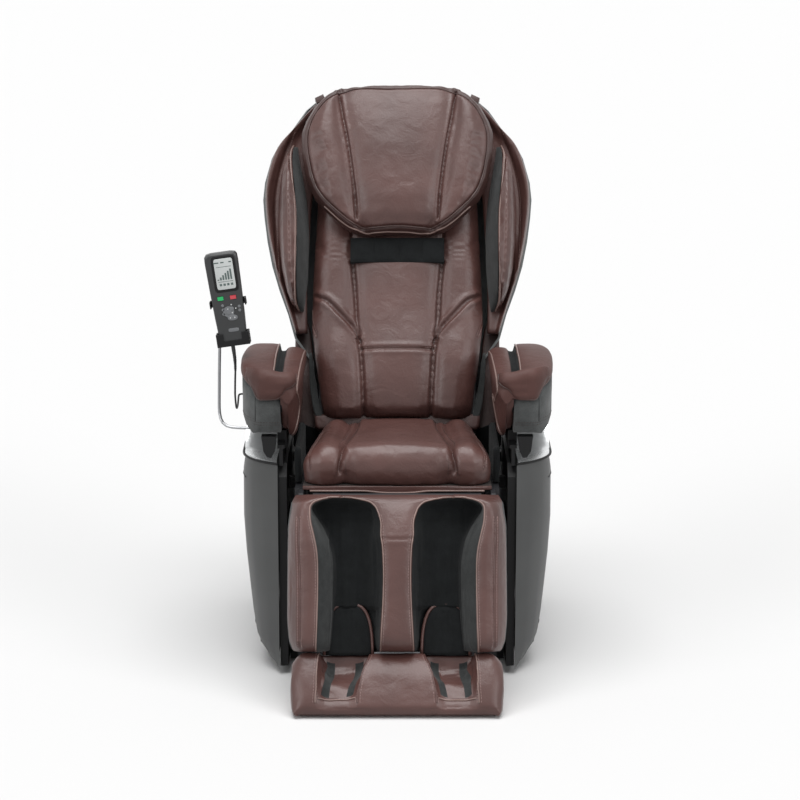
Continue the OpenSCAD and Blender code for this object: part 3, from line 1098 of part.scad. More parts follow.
// Stand of the handset, turning in a socket under the left arm
stand_r = 3.5;
stand_x = -300;
stand_y = -178;
stand_z = 551;
socket_r = 9;
hand_x = -373;
hand_y = -170;
hand_z = 749.5;
hand_roll = -8;
hand_t = 28;
tube_y = -147.5;
stand_pts = [[-300, -178, 551], [-330, -176, 551], [-365, -171, 551], [-382, -167, 551.5], [-394, -163, 554], [-403, -158.5, 560], [-408, -154, 569],
  [-410.5, -150.5, 580], [-411.5, -148.5, 592], [-411.5, -147.5, 605], [-410, -147.5, 680], [-408, -147.5, 745], [-406, -147.5, 800]];
module remote_stand() {
  color([0.55, 0.55, 0.57]) {
    translate([stand_x, stand_y, stand_z - socket_r * 0.8]) cylinder(r = socket_r, h = arm_bottom - seat_gap - stand_z + socket_r * 0.8);
    swept_tube([for (k = [0:len(stand_pts) - 1]) k == 0 ? stand_pts[0] + unit(stand_pts[1] - stand_pts[0]) * (socket_r + over) * 0.8 : stand_pts[k]], stand_r, 12, [0, 1, 0]);
  }
}
module on_hand() {
  translate([hand_x, hand_y, hand_z]) rotate([0, hand_roll, 0]) children();
}
hand_shares = [[-0.37, 0.02], [-0.42, 0.1], [-0.45, 0.3], [-0.48, 0.6], [-0.5, 0.9], [-0.49, 0.965], [-0.44, 0.99], [-0.3, 1],
  [0.3, 1], [0.44, 0.99], [0.49, 0.965], [0.5, 0.9], [0.48, 0.6], [0.45, 0.3], [0.42, 0.1], [0.37, 0.02], [0.25, 0], [-0.25, 0]];
relief_l = 20;
relief_r = 4.5;
relief_x = -4;
key_d = 3;
key_out = 1.5;
key_up = 108;
start_x = -14;
stop_x = 15;
key_w = 14;
key_h = 9;
pad_up = 76;
pad_r = 13;
screen_w = 46;
screen_h = 66;
screen_up = 126;
module handset() {
  rings = [for (d = [[-0.5, 0.9], [-0.4, 0.985], [-0.25, 1], [0.3, 1], [0.45, 0.97], [0.5, 0.9]])
    [for (p = hand_shares) [handset_w * p[0] * d[1], hand_t * d[0], handset_l * (0.5 + (p[1] - 0.5) * (1 - (1 - d[1]) * 0.4))]]];
  color([0.2, 0.2, 0.2]) on_hand() {
    difference() {
      ring_loft(rings);
      translate([0, -hand_t / 2, 0]) {
        for (x = [start_x, stop_x]) block([x - key_w / 2, -over, key_up - key_h / 2], [x + key_w / 2, key_d, key_up + key_h / 2]);
        translate([0, 0, pad_up]) rotate([-90, 0, 0]) translate([0, 0, -over]) cylinder(r = pad_r, h = key_d + over);
        block([-screen_w / 2, -over, screen_up], [screen_w / 2, over, screen_up + screen_h]);
      }
    }
    translate([relief_x, 0, -relief_l]) cylinder(r = relief_r, h = relief_l + over * 2);
  }
}
module key_box(x) {
  c = seat_gap;
  color([0.1, 0.6, 0.35]) on_hand() block([x - key_w / 2 + c, -hand_t / 2 - key_out, key_up - key_h / 2 + c],
    [x + key_w / 2 - c, -hand_t / 2 + key_d - over, key_up + key_h / 2 - c]);
}
module key_pad() {
  color([0.4, 0.4, 0.42]) on_hand() translate([0, -hand_t / 2 - key_out, pad_up]) rotate([-90, 0, 0]) {
    cylinder(r = pad_r - seat_gap, h = key_d + key_out - over);
    translate([0, 0, -over]) cylinder(r = pad_r * 0.45, h = over);
  }
}
// Holder: back plate, bottom cup and two side clips
hold_t = 3;
cup_h = 26;
clip_h = 16;
clip_up = 86;
hold_w = 0.41;
module remote_holder() {
  c = seat_gap * 2;
  w = handset_w * 0.45 + c;
  yb = hand_t / 2 + c;
  wide = handset_w / 2 + c;
  color([0.12, 0.12, 0.12]) on_hand() difference() {
    union() {
      block([-w - hold_t, -yb - hold_t, -c - hold_t], [w + hold_t, yb + hold_t, cup_h]);
      block([-handset_w * 0.2, yb, -c - hold_t], [handset_w * 0.2, yb + hold_t, clip_up + clip_h]);
      block([-wide - hold_t, yb, clip_up], [wide + hold_t, yb + hold_t, clip_up + clip_h]);
      for (x = [-wide - hold_t, wide]) block([x, -yb * 0.6, clip_up], [x + hold_t, yb + hold_t, clip_up + clip_h]);
    }
    block([-w, -yb, -c], [w, yb, cup_h + over]);
    block([-w * 0.6, -yb - hold_t - over, cup_h * 0.35], [w * 0.6, -yb + over, cup_h + over]);
    translate([relief_x, 0, -relief_l]) cylinder(r = relief_r * 2, h = relief_l);
  }
}
// Cord of the handset, from its strain relief down to the gland in the left arm
cord_r = 2.25;
cord_pts = [[-374.2, -170, 729], [-373, -170, 720], [-372, -170, 709], [-371.5, -169.5, 697], [-371.5, -169, 685], [-372, -167.5, 673], [-372.5, -166, 661], [-373, -163, 649],
  [-373.5, -159, 637], [-374, -154, 625.5], [-374, -147.5, 614.5], [-374, -139.5, 604.5], [-374, -130.5, 595.5], [-374, -120, 588.5], [-374, -108.5, 584], [-374, -96.5, 581.5],
  [-374, -84, 581], [-374, -72, 582.5], [-374, -61, 586], [-374, -50, 591], [-374, -42, 595.5], [-373.8, -35.5, 598.3], [-372.9, -30.6, 599.5], [-370.5, -26.9, 600], [-367, -24.6, 600], [-363.6, -24, 600], [-362.1, -24, 600]];
module handset_cord() {
  color([0.1, 0.1, 0.1]) swept_tube(cord_pts, cord_r, 8, [1, 0.05, 0.3]);
}

base_frame();
floor_pads();
pivot_shafts();
wheel(-1);  // wheel_left
wheel(1);  // wheel_right
seat_pan();
seat_cushion();
seat_hem();
side_panel(-1);  // side_panel_left
side_panel(1);  // side_panel_right
side_trims();
side_casings();
rear_cover();
power_inlet();
power_switch();
control_box();
air_pump();
back_shell();
back_frame();
wing_cover();
back_cushion();
neck_band();
head_pillow();
shoulder_pad(-1);  // shoulder_pad_left
shoulder_pad(1);  // shoulder_pad_right
shoulder_faces();
hip_fabrics();
lead_screw();
screw_motor();
massage_carriage();
knead_arm(-1);  // knead_arm_left
knead_arm(1);  // knead_arm_right
massage_roller(-1, 1);  // roller_upper_left
massage_roller(1, 1);  // roller_upper_right
massage_roller(-1, -1);  // roller_lower_left
massage_roller(1, -1);  // roller_lower_right
leg_frame();
calf_cover();
foot_cover();
foot_frame();
foot_liners();
foot_roller(-1);  // foot_roller_left
foot_roller(1);  // foot_roller_right
recline_actuator();
leg_actuator();
recline_rod();
leg_rod();
arm_shell(-1);  // arm_shell_left
arm_shell(1);  // arm_shell_right
arm_pads(-1);  // arm_pads_left
arm_pads(1);  // arm_pads_right
arm_shoe(-1);  // arm_shoe_left
arm_shoe(1);  // arm_shoe_right
remote_stand();
remote_holder();
handset();
key_box(start_x);  // key_start
key_box(stop_x);  // key_stop
key_pad();
handset_cord();
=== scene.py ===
"""Massage chair with calf and foot wells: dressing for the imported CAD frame."""
import json
import math

import bmesh
import bpy
import numpy as np
from mathutils import Matrix, Vector, noise
from mathutils.bvhtree import BVHTree
from mathutils.kdtree import KDTree


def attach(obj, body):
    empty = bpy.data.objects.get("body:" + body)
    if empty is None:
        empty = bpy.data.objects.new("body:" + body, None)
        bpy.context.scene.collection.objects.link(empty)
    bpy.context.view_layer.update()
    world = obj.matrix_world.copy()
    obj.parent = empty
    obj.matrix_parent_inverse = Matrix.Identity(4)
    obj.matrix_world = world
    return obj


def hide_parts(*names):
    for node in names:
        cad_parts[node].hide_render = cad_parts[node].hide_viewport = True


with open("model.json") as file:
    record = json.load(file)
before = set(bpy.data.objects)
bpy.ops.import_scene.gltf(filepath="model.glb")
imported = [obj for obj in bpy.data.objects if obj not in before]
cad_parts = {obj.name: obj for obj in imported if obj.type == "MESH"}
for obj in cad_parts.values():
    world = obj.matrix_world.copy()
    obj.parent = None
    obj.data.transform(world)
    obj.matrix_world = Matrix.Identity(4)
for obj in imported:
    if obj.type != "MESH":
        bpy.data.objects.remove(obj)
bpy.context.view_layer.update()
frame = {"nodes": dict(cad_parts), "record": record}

bl_info = {
    "name": "Massage chair dressing",
    "version": (1, 0, 0),
    "blender": (4, 5, 0),
    "location": "3D View > Sidebar > Chair",
    "description": "Upholstery, shells, fittings and finishes for a packed massage chair",
    "category": "Add Mesh",
}

MM = 0.001

# Planes of the chair, as in the part's source, in metres and radians
BACK_FOOT = Vector((0.0, -0.020, 0.480))
BACK_LEAN = math.radians(24)
LEG_PIVOT = Vector((0.0, -0.372, 0.432))
LEG_LEAN = math.radians(16)


def plane_matrix(origin, lean):
    """Columns across, up the slope and out of the leaning plane, at its origin."""
    return Matrix((
        (1, 0, 0, origin.x),
        (0, math.sin(lean), -math.cos(lean), origin.y),
        (0, math.cos(lean), math.sin(lean), origin.z),
        (0, 0, 0, 1),
    ))


BACK = plane_matrix(BACK_FOOT, BACK_LEAN)
LEG = plane_matrix(LEG_PIVOT, LEG_LEAN)
# The seat's plane: across, to the rear, up
SEAT = Matrix.Identity(4)
# A front view: across, up, towards the viewer
FRONT = Matrix(((1, 0, 0, 0), (0, 0, -1, 0), (0, 1, 0, 0), (0, 0, 0, 1)))
HAND_ROLL = math.radians(-8)
HAND = Matrix.Translation((-0.373, -0.170, 0.7495)) @ Matrix.Rotation(HAND_ROLL, 4, "Y") @ FRONT
SIDES = ((-1, "left"), (1, "right"))


def side_plane(way):
    """A side view, from -X where way is -1: to the rear, up, outwards."""
    return Matrix(((0, 0, way, 0), (1, 0, 0, 0), (0, 1, 0, 0), (0, 0, 0, 1)))


def outward(matrix):
    """The way out of a plane."""
    return Vector([matrix[i][2] for i in range(3)])


# Colours and materials
def linear(code):
    """sRGB hex to linear RGBA."""
    values = [int(code[i:i + 2], 16) / 255 for i in (1, 3, 5)]
    return tuple(v / 12.92 if v <= 0.04045 else ((v + 0.055) / 1.055) ** 2.4 for v in values) + (1.0,)


def shade(color, k):
    """A linear colour made darker or lighter."""
    return tuple(min(1.0, c * k) for c in color[:3]) + (1.0,)


def add(tree, kind, settings=None, **links):
    """Adds a node, sets its properties, colour stops and inputs, and links what is given as a socket."""
    n = tree.nodes.new(kind)
    for key, value in (settings or {}).items():
        if key == "stops":
            ends = n.color_ramp.elements
            ends[0].position, ends[0].color = value[0]
            ends[1].position, ends[1].color = value[-1]
            for pos, color in value[1:-1]:
                ends.new(pos).color = color
        else:
            setattr(n, key, value)
    for key, value in links.items():
        if key[0] == "i" and key[1:].isdigit():
            socket = n.inputs[int(key[1:])]
        else:
            socket = next(s for s in n.inputs if s.name == key.replace("_", " ") and s.enabled)
        if isinstance(value, bpy.types.NodeSocket):
            tree.links.new(value, socket)
        else:
            socket.default_value = value
    return n


def start_material(name):
    """A material with an empty tree, its shader and object coordinates in metres."""
    mat = bpy.data.materials.new(name)
    mat.use_nodes = True
    tree = mat.node_tree
    tree.nodes.clear()
    out = tree.nodes.new("ShaderNodeOutputMaterial")
    shader = tree.nodes.new("ShaderNodeBsdfPrincipled")
    tree.links.new(shader.outputs["BSDF"], out.inputs["Surface"])
    return mat, tree, shader, add(tree, "ShaderNodeTexCoord").outputs["Object"]


def noise_of(tree, pos, size_mm, **inputs):
    """A noise whose features are about the given size."""
    return add(tree, "ShaderNodeTexNoise", Vector=pos, Scale=1000 / size_mm, **inputs)


def tone_of(tree, shader, fac, *stops):
    """Colours the shader by a ramp."""
    ramp = add(tree, "ShaderNodeValToRGB", {"stops": list(stops)}, Fac=fac)
    tree.links.new(ramp.outputs["Color"], shader.inputs["Base Color"])


def bump_of(tree, height, strength, distance, **inputs):
    """The normal of a bump."""
    return add(tree, "ShaderNodeBump", Strength=strength, Distance=distance, Height=height,
               **inputs).outputs[0]


def gloss_of(tree, shader, fac, low, high):
    """Roughness that varies with the grain."""
    span = add(tree, "ShaderNodeMapRange", Value=fac, To_Min=low, To_Max=high)
    tree.links.new(span.outputs["Result"], shader.inputs["Roughness"])


def higher(tree, a, b):
    """The higher of two values."""
    return add(tree, "ShaderNodeMath", {"operation": "MAXIMUM"}, i0=a, i1=b).outputs[0]


def setup(shader, **values):
    """Constants of the shader's inputs."""
    for key, value in values.items():
        shader.inputs[key.replace("_", " ")].default_value = value


def leather(name, color, rough=0.37, coat=0.08, ior=1.45):
    """Synthetic leather, cast on embossed paper: pebbled grain, soft folds, a low sheen that varies."""
    mat, tree, shader, pos = start_material(name)
    # Grain pebbles of about 1 mm, drawn at 2.4 mm so that they show
    cells = add(tree, "ShaderNodeTexVoronoi", {"feature": "DISTANCE_TO_EDGE"}, Vector=pos, Scale=1000 / 2.4)
    fine = noise_of(tree, pos, 4, Detail=4.0, Roughness=0.6).outputs["Fac"]
    folds = noise_of(tree, pos, 42, Detail=3.0, Roughness=0.55, Distortion=0.6).outputs["Fac"]
    patch = noise_of(tree, pos, 140, Detail=2.0).outputs["Fac"]
    tone_of(tree, shader, patch, (0.3, shade(color, 0.8)), (0.52, color), (0.75, shade(color, 1.18)))
    pores = add(tree, "ShaderNodeMath", {"operation": "MINIMUM"}, i0=cells.outputs["Distance"], i1=0.09)
    b1 = bump_of(tree, pores.outputs[0], 0.35, 0.0012)
    b2 = bump_of(tree, fine, 0.22, 0.0016, Normal=b1)
    tree.links.new(bump_of(tree, folds, 0.3, 0.007, Normal=b2), shader.inputs["Normal"])
    gloss_of(tree, shader, fine, rough - 0.07, rough + 0.09)
    setup(shader, IOR=ior, Coat_Weight=coat, Coat_Roughness=0.3)
    return mat


def knit(name, color, pitch_mm=2.2, contrast=0.3, gloss=0.22):
    """Warp-knitted polyester: close small loops on every side, matt, a soft sheen at grazing angles."""
    mat, tree, shader, pos = start_material(name)
    # Loops of about 1.2 mm, drawn wider so that they show
    loops = add(tree, "ShaderNodeTexVoronoi", {"feature": "F1"}, Vector=pos, Scale=1000 / pitch_mm,
                Randomness=0.55).outputs["Distance"]
    blot = noise_of(tree, pos, 24, Detail=5.0, Roughness=0.6)
    mix = add(tree, "ShaderNodeMath", {"operation": "MULTIPLY_ADD"}, i0=loops, i1=-0.35,
              i2=blot.outputs["Fac"])
    tone_of(tree, shader, mix.outputs[0], (0.12, shade(color, 1 - contrast)),
            (0.62, shade(color, 1 + contrast)))
    fold = noise_of(tree, pos, 55, Detail=2.0)
    b1 = add(tree, "ShaderNodeBump", {"invert": True}, Strength=0.45, Distance=0.0008, Height=loops)
    tree.links.new(bump_of(tree, fold.outputs["Fac"], 0.2, 0.005, Normal=b1.outputs[0]),
                   shader.inputs["Normal"])
    setup(shader, Roughness=0.82, IOR=1.25, Sheen_Weight=gloss, Sheen_Roughness=0.5)
    return mat


def moulded(name, color, rough=0.5, grit_mm=1.4, depth=0.25, coat=0.0, cloud=0.12, ior=1.5):
    """Injection-moulded plastic or rubber: even spark-eroded grit, slight cloudiness in colour and gloss."""
    mat, tree, shader, pos = start_material(name)
    grit = noise_of(tree, pos, grit_mm, Detail=3.0, Roughness=0.65).outputs["Fac"]
    haze = noise_of(tree, pos, 110, Detail=3.0).outputs["Fac"]
    tone_of(tree, shader, haze, (0.3, shade(color, 1 - cloud)), (0.7, shade(color, 1 + cloud)))
    tree.links.new(bump_of(tree, grit, depth, 0.0006), shader.inputs["Normal"])
    gloss_of(tree, shader, grit, max(0.03, rough - 0.07), rough + 0.07)
    setup(shader, IOR=ior, Coat_Weight=coat, Coat_Roughness=0.15)
    return mat


def metal(name, color, rough, metallic=1.0, stretch=(1.0, 1.0, 0.03), line_mm=1.5, cloud=0.1):
    """Drawn, plated, folded or painted metal: fine lines along the draw, uneven gloss."""
    mat, tree, shader, pos = start_material(name)
    grain = add(tree, "ShaderNodeMapping", Vector=pos, Scale=stretch)
    lines = noise_of(tree, grain.outputs[0], line_mm, Detail=5.0, Roughness=0.6).outputs["Fac"]
    tone_of(tree, shader, lines, (0.3, shade(color, 1 - cloud)), (0.7, shade(color, 1 + cloud)))
    gloss_of(tree, shader, lines, max(0.03, rough - 0.05), rough + 0.07)
    tree.links.new(bump_of(tree, lines, 0.12, 0.0004), shader.inputs["Normal"])
    setup(shader, Metallic=metallic)
    return mat


MAT = {}


def make_materials(settings):
    """All finishes, named for what the real ones are and how they were made; the names of three leather
    copies also say the painted shade and highlight they carry.
    """
    brown, fabric, panel = settings.leather_color, settings.fabric_color, settings.panel_color
    finishes = {
        "leather": (leather, "synthetic_leather_brown", brown),
        # Matt leather for the arm pads and flaps, made a little darker than the leather as painted shade
        "leather_matt_painted_shade": (leather, "synthetic_leather_brown_matt", shade(brown, 0.92), 0.5, 0.0, 1.3),
        # A darker copy of the leather: painted shade where it covers the back's tail and the pillow's border;
        # also used for some piping, tabs and gussets
        "leather_dark_and_painted_shade": (leather, "synthetic_leather_brown_border", shade(brown, 0.62), 0.42),
        # A lighter copy of the leather for piping and rolled edges: painted highlight on their crowns
        "leather_painted_highlight": (leather, "synthetic_leather_brown_piping", "#7E6862", 0.36),
        "knit": (knit, "knitted_polyester_grey", fabric),
        "knit_black": (knit, "spacer_mesh_black", "#141617", 1.8, 0.3, 0.05),
        "knit_mid": (knit, "spacer_mesh_charcoal", "#303232", 2.0, 0.3, 0.14),
        "panel": (moulded, "spark_textured_abs_grey", panel, 0.46, 1.5, 0.35),
        "shell": (moulded, "spark_textured_abs_shell", "#5F6262", 0.5, 1.5, 0.3, 0.0, 0.06),
        "black": (moulded, "moulded_abs_black", "#0F0F10", 0.5, 1.2, 0.25, 0.0, 0.12, 1.33),
        "handset": (moulded, "moulded_abs_charcoal", "#2A2B2C", 0.4, 1.0, 0.15),
        "rubber": (moulded, "moulded_rubber_black", "#181818", 0.75, 1.0, 0.3),
        "roller": (moulded, "moulded_rubber_amber", "#613824", 0.55, 1.4, 0.2),
        "chrome": (metal, "plated_abs_bright", "#F6F8F9", 0.18, 0.7, (1, 1, 1), 60.0, 0.04),
        "steel": (metal, "ground_steel", "#AEB0B3", 0.28),
        "tube": (metal, "satin_nickel_tube", "#98999B", 0.3, 1.0, (1, 1, 0.05), 1.0),
        "paint": (metal, "powder_coated_steel", "#1D1D20", 0.5, 0.0, (1, 1, 1), 2.0),
        "alu": (metal, "folded_aluminium", "#9FA0A3", 0.38, 1.0, (1, 0.04, 1), 1.2),
        "board": (moulded, "stained_pressed_board", "#2B2422", 0.85, 3.0, 0.5, 0.0, 0.2),
        "thread": (moulded, "bonded_nylon_thread", "#8A716D", 0.5, 0.6, 0.4),
        "thread_dark": (moulded, "bonded_nylon_thread_dark", "#2A1E1C", 0.6, 0.6, 0.4),
        "green": (moulded, "translucent_key_green", "#00AC5D", 0.3, 0.8, 0.05, 0.4),
        "red": (moulded, "translucent_key_red", "#C43A45", 0.3, 0.8, 0.05, 0.4),
        "key": (moulded, "moulded_key_grey", "#6A6C6F", 0.35, 0.8, 0.1, 0.2),
        "mark": (moulded, "printed_mark_white", "#D8DADA", 0.5, 0.8, 0.05),
        "screen": (moulded, "lcd_glass_pale", "#C2C6C5", 0.12, 2.0, 0.02, 0.6, 0.03),
        "segment": (moulded, "lcd_segment_dark", "#52605D", 0.3, 1.0, 0.02),
        "cable": (moulded, "pvc_cable_black", "#151516", 0.5, 0.9, 0.2),
    }
    for key, (kind, name, color, *rest) in finishes.items():
        MAT[key] = kind(name, linear(color) if isinstance(color, str) else color, *rest)


# Mesh helpers
def link(name, mesh, mat):
    """Places a mesh in the scene as an object, with its first finish."""
    obj = bpy.data.objects.new(name, mesh)
    bpy.context.scene.collection.objects.link(obj)
    if mat is not None:
        obj.data.materials.append(MAT[mat])
    return obj


def from_bm(name, bm, mat):
    """An object made of a bmesh, which is used up."""
    mesh = bpy.data.meshes.new(name)
    bm.to_mesh(mesh)
    bm.free()
    mesh.shade_smooth()
    return link(name, mesh, mat)


def bake(obj):
    """Applies the object's modifiers to its mesh."""
    bpy.context.view_layer.update()
    deps = bpy.context.evaluated_depsgraph_get()
    mesh = bpy.data.meshes.new_from_object(obj.evaluated_get(deps))
    obj.modifiers.clear()
    obj.data = mesh
    return obj


def modify(obj, kind, **settings):
    """Adds a modifier."""
    m = obj.modifiers.new(kind.title(), kind)
    for key, value in settings.items():
        setattr(m, key, value)
    return m


def node_bm(node):
    """The merged mesh of a CAD node as a bmesh."""
    bm = bmesh.new()
    bm.from_mesh(frame["nodes"][node].data)
    bmesh.ops.remove_doubles(bm, verts=bm.verts, dist=0.00002)
    return bm


def coords(obj):
    """The points of an object's mesh as an array."""
    co = np.empty(len(obj.data.vertices) * 3)
    obj.data.vertices.foreach_get("co", co)
    return co.reshape(-1, 3)


def set_coords(obj, co):
    """Moves the points of an object's mesh to those of an array."""
    obj.data.vertices.foreach_set("co", co.ravel())
    obj.data.update()


def normals(obj):
    """The point normals of an object's mesh as an array."""
    no = np.empty(len(obj.data.vertices) * 3)
    obj.data.vertices.foreach_get("normal", no)
    return no.reshape(-1, 3)


def rigid(name, node, mat, bevel=0.0, sharp=32):
    """A rigid piece from its CAD node: merged, sharp or smooth at its edges, and bevelled."""
    bm = node_bm(node)
    bmesh.ops.dissolve_limit(bm, angle_limit=math.radians(0.6), verts=bm.verts, edges=bm.edges)
    limit = math.radians(sharp)
    crease = bm.edges.layers.float.new("crease_edge")
    for e in bm.edges:
        hard = len(e.link_faces) != 2 or e.calc_face_angle(0) > limit
        e.smooth = not hard
        e[crease] = 1.0 if hard else 0.0
    obj = from_bm(name, bm, mat)
    if bevel:
        modify(obj, "BEVEL", width=bevel, segments=2, limit_method="ANGLE", angle_limit=limit,
               harden_normals=False)
        bake(obj)
    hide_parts(node)
    return obj


def skin(name, node, mat, levels=2, sharp=55, weight=1.0):
    """A covered form from its CAD solid: triangles joined, sharp edges creased, subdivided."""
    bm = node_bm(node)
    bmesh.ops.join_triangles(bm, faces=bm.faces, angle_face_threshold=math.radians(25),
                             angle_shape_threshold=math.radians(70))
    crease = bm.edges.layers.float.new("crease_edge")
    for e in bm.edges:
        if len(e.link_faces) != 2 or e.calc_face_angle(0) > math.radians(sharp):
            e[crease] = weight
    obj = from_bm(name, bm, mat)
    return finer(obj, levels)


def surface(name, cols, rows, place, mats, zone=None, levels=1, creased=()):
    """A sheet whose columns and rows lie where the rule says; each face takes the finish of its zone."""
    bm = bmesh.new()
    nx, ny = len(cols) - 1, len(rows) - 1
    bmesh.ops.create_grid(bm, x_segments=nx, y_segments=ny, size=0.5)
    at = {v: (round((v.co.x + 0.5) * nx), round((v.co.y + 0.5) * ny)) for v in bm.verts}
    for f in bm.faces:
        i, j = min(at[v][0] for v in f.verts), min(at[v][1] for v in f.verts)
        f.material_index = zone((cols[i] + cols[i + 1]) / 2, (rows[j] + rows[j + 1]) / 2) if zone else 0
    crease = bm.edges.layers.float.new("crease_edge")
    for e in bm.edges:
        i, k = at[e.verts[0]][0], at[e.verts[1]][0]
        if i == k and abs(cols[i]) in creased:
            e[crease] = 0.8
    for v, (i, j) in at.items():
        v.co = place(cols[i], rows[j])
    bmesh.ops.dissolve_degenerate(bm, dist=0.00005, edges=bm.edges)
    obj = from_bm(name, bm, mats[0])
    for m in mats[1:]:
        obj.data.materials.append(MAT[m])
    if levels:
        finer(obj, levels)
    return obj


def close_down(obj, matrix, base, index=0):
    """Draws a sheet's edge down to a plane, in millimetres, and closes it there."""
    bm = bmesh.new()
    bm.from_mesh(obj.data)
    made = bmesh.ops.extrude_edge_only(bm, edges=[e for e in bm.edges if e.is_boundary])["geom"]
    inv = matrix.inverted()
    for v in made:
        if isinstance(v, bmesh.types.BMVert):
            p = inv @ v.co
            v.co = matrix @ Vector((p.x, p.y, base * MM))
    rim = [e for e in made if isinstance(e, bmesh.types.BMEdge) and e.is_boundary]
    for f in bmesh.ops.contextual_create(bm, geom=rim)["faces"]:
        f.material_index = index
    bmesh.ops.recalc_face_normals(bm, faces=bm.faces)
    bm.to_mesh(obj.data)
    bm.free()
    return obj


def in_mm(points):
    """Points in millimetres as vectors in metres."""
    return [Vector(p) * MM for p in points]


def within(x=(-1, 9999), y=(-9999, 9999), z=(-9999, 9999)):
    """Marks the points inside a box in millimetres, where x is the distance from the middle."""
    def marks(m):
        values = abs(m[:, 0]), m[:, 1], m[:, 2]
        return np.all([(low < v) & (v < high) for v, (low, high) in zip(values, (x, y, z))],
                      axis=0).astype(float)
    return marks


def mirrored(cols):
    """The columns of both sides, from those of one side that start at the middle."""
    return [-c for c in reversed(cols[1:])] + list(cols)


def along(table, t):
    """The value at t of a table of (t, value), straight between its entries."""
    table = sorted(table)
    return float(np.interp(t, [a for a, _ in table], [b for _, b in table]))


def plate(name, matrix, line, base, top, mat, bevel=1.5, segments=3, closed_smooth=0.0):
    """A flat piece from its outline, in millimetres in the plane: extruded and rounded at its edges."""
    if closed_smooth:
        dense = polyline([(x, y, 0) for x, y in line + line[:1]], closed_smooth)[:-1]
        line = [(p.x, p.y) for p in dense]
    bm = bmesh.new()
    face = bm.faces.new([bm.verts.new((x * MM, y * MM, base * MM)) for x, y in line])
    made = bmesh.ops.extrude_face_region(bm, geom=[face])["geom"]
    bmesh.ops.translate(bm, vec=(0, 0, (top - base) * MM),
                        verts=[v for v in made if isinstance(v, bmesh.types.BMVert)])
    bmesh.ops.recalc_face_normals(bm, faces=bm.faces)
    if bevel:
        rim = [e for e in bm.edges
               if abs(e.verts[0].co.z - top * MM) < 1e-7 and abs(e.verts[1].co.z - top * MM) < 1e-7]
        bmesh.ops.bevel(bm, geom=rim, offset=bevel * MM, offset_type="OFFSET", segments=segments, profile=0.5,
                        affect="EDGES", material=-1)
    bm.transform(matrix)
    bmesh.ops.recalc_face_normals(bm, faces=bm.faces)
    obj = from_bm(name, bm, mat)
    obj.data.shade_smooth()
    modify(obj, "EDGE_SPLIT", split_angle=math.radians(40))
    return bake(obj)


def oval(cx, cy, rx, ry, count=24, power=2.0):
    """Points round an ellipse, or round a squarer one where the power is higher."""
    out = []
    for k in range(count):
        a = 2 * math.pi * k / count
        c, q = math.cos(a), math.sin(a)
        out.append((cx + rx * math.copysign(abs(c) ** (2 / power), c),
                    cy + ry * math.copysign(abs(q) ** (2 / power), q)))
    return out


def polyline(points, step):
    """Points along a smooth curve through the given ones, a step apart."""
    pts = [Vector(p) for p in points]
    dense = []
    for i in range(len(pts) - 1):
        p0, p1, p2, p3 = pts[max(i - 1, 0)], pts[i], pts[i + 1], pts[min(i + 2, len(pts) - 1)]
        n = max(2, int((p2 - p1).length / step) + 1)
        for k in range(n):
            t = k / n
            dense.append(0.5 * ((2 * p1) + (p2 - p0) * t + (2 * p0 - 5 * p1 + 4 * p2 - p3) * t * t
                                + (3 * p1 - p0 - 3 * p2 + p3) * t ** 3))
    dense.append(pts[-1])
    return dense


def tube(name, path, radius, mat, rings=2, closed=False, taper=None):
    """A round rod along a path: a curve with a round section, made a mesh."""
    curve = bpy.data.curves.new(name, "CURVE")
    curve.dimensions = "3D"
    curve.bevel_depth = radius
    curve.bevel_resolution = rings
    curve.use_fill_caps = True
    spline = curve.splines.new("POLY")
    spline.points.add(len(path) - 1)
    for i, p in enumerate(path):
        spline.points[i].co = (p[0], p[1], p[2], 1)
        spline.points[i].radius = taper(i / (len(path) - 1)) if taper else 1.0
    spline.use_cyclic_u = closed
    source = bpy.data.objects.new(name + "_path", curve)
    bpy.context.scene.collection.objects.link(source)
    bpy.context.view_layer.update()
    mesh = bpy.data.meshes.new_from_object(source.evaluated_get(bpy.context.evaluated_depsgraph_get()))
    bpy.data.objects.remove(source)
    bm = bmesh.new()
    bm.from_mesh(mesh)
    bmesh.ops.remove_doubles(bm, verts=bm.verts, dist=0.000001)
    bmesh.ops.recalc_face_normals(bm, faces=bm.faces)
    return from_bm(name, bm, mat)


# Soft goods
def soft_copy(name, node, mat, voxel):
    """A padded form from its CAD solid: remeshed evenly and relaxed."""
    obj = from_bm(name, node_bm(node), mat)
    modify(obj, "REMESH", mode="VOXEL", voxel_size=voxel, use_smooth_shade=True)
    bake(obj)
    modify(obj, "SMOOTH", factor=0.5, iterations=6)
    bake(obj)
    obj.data.materials.clear()
    obj.data.materials.append(MAT[mat])
    return obj


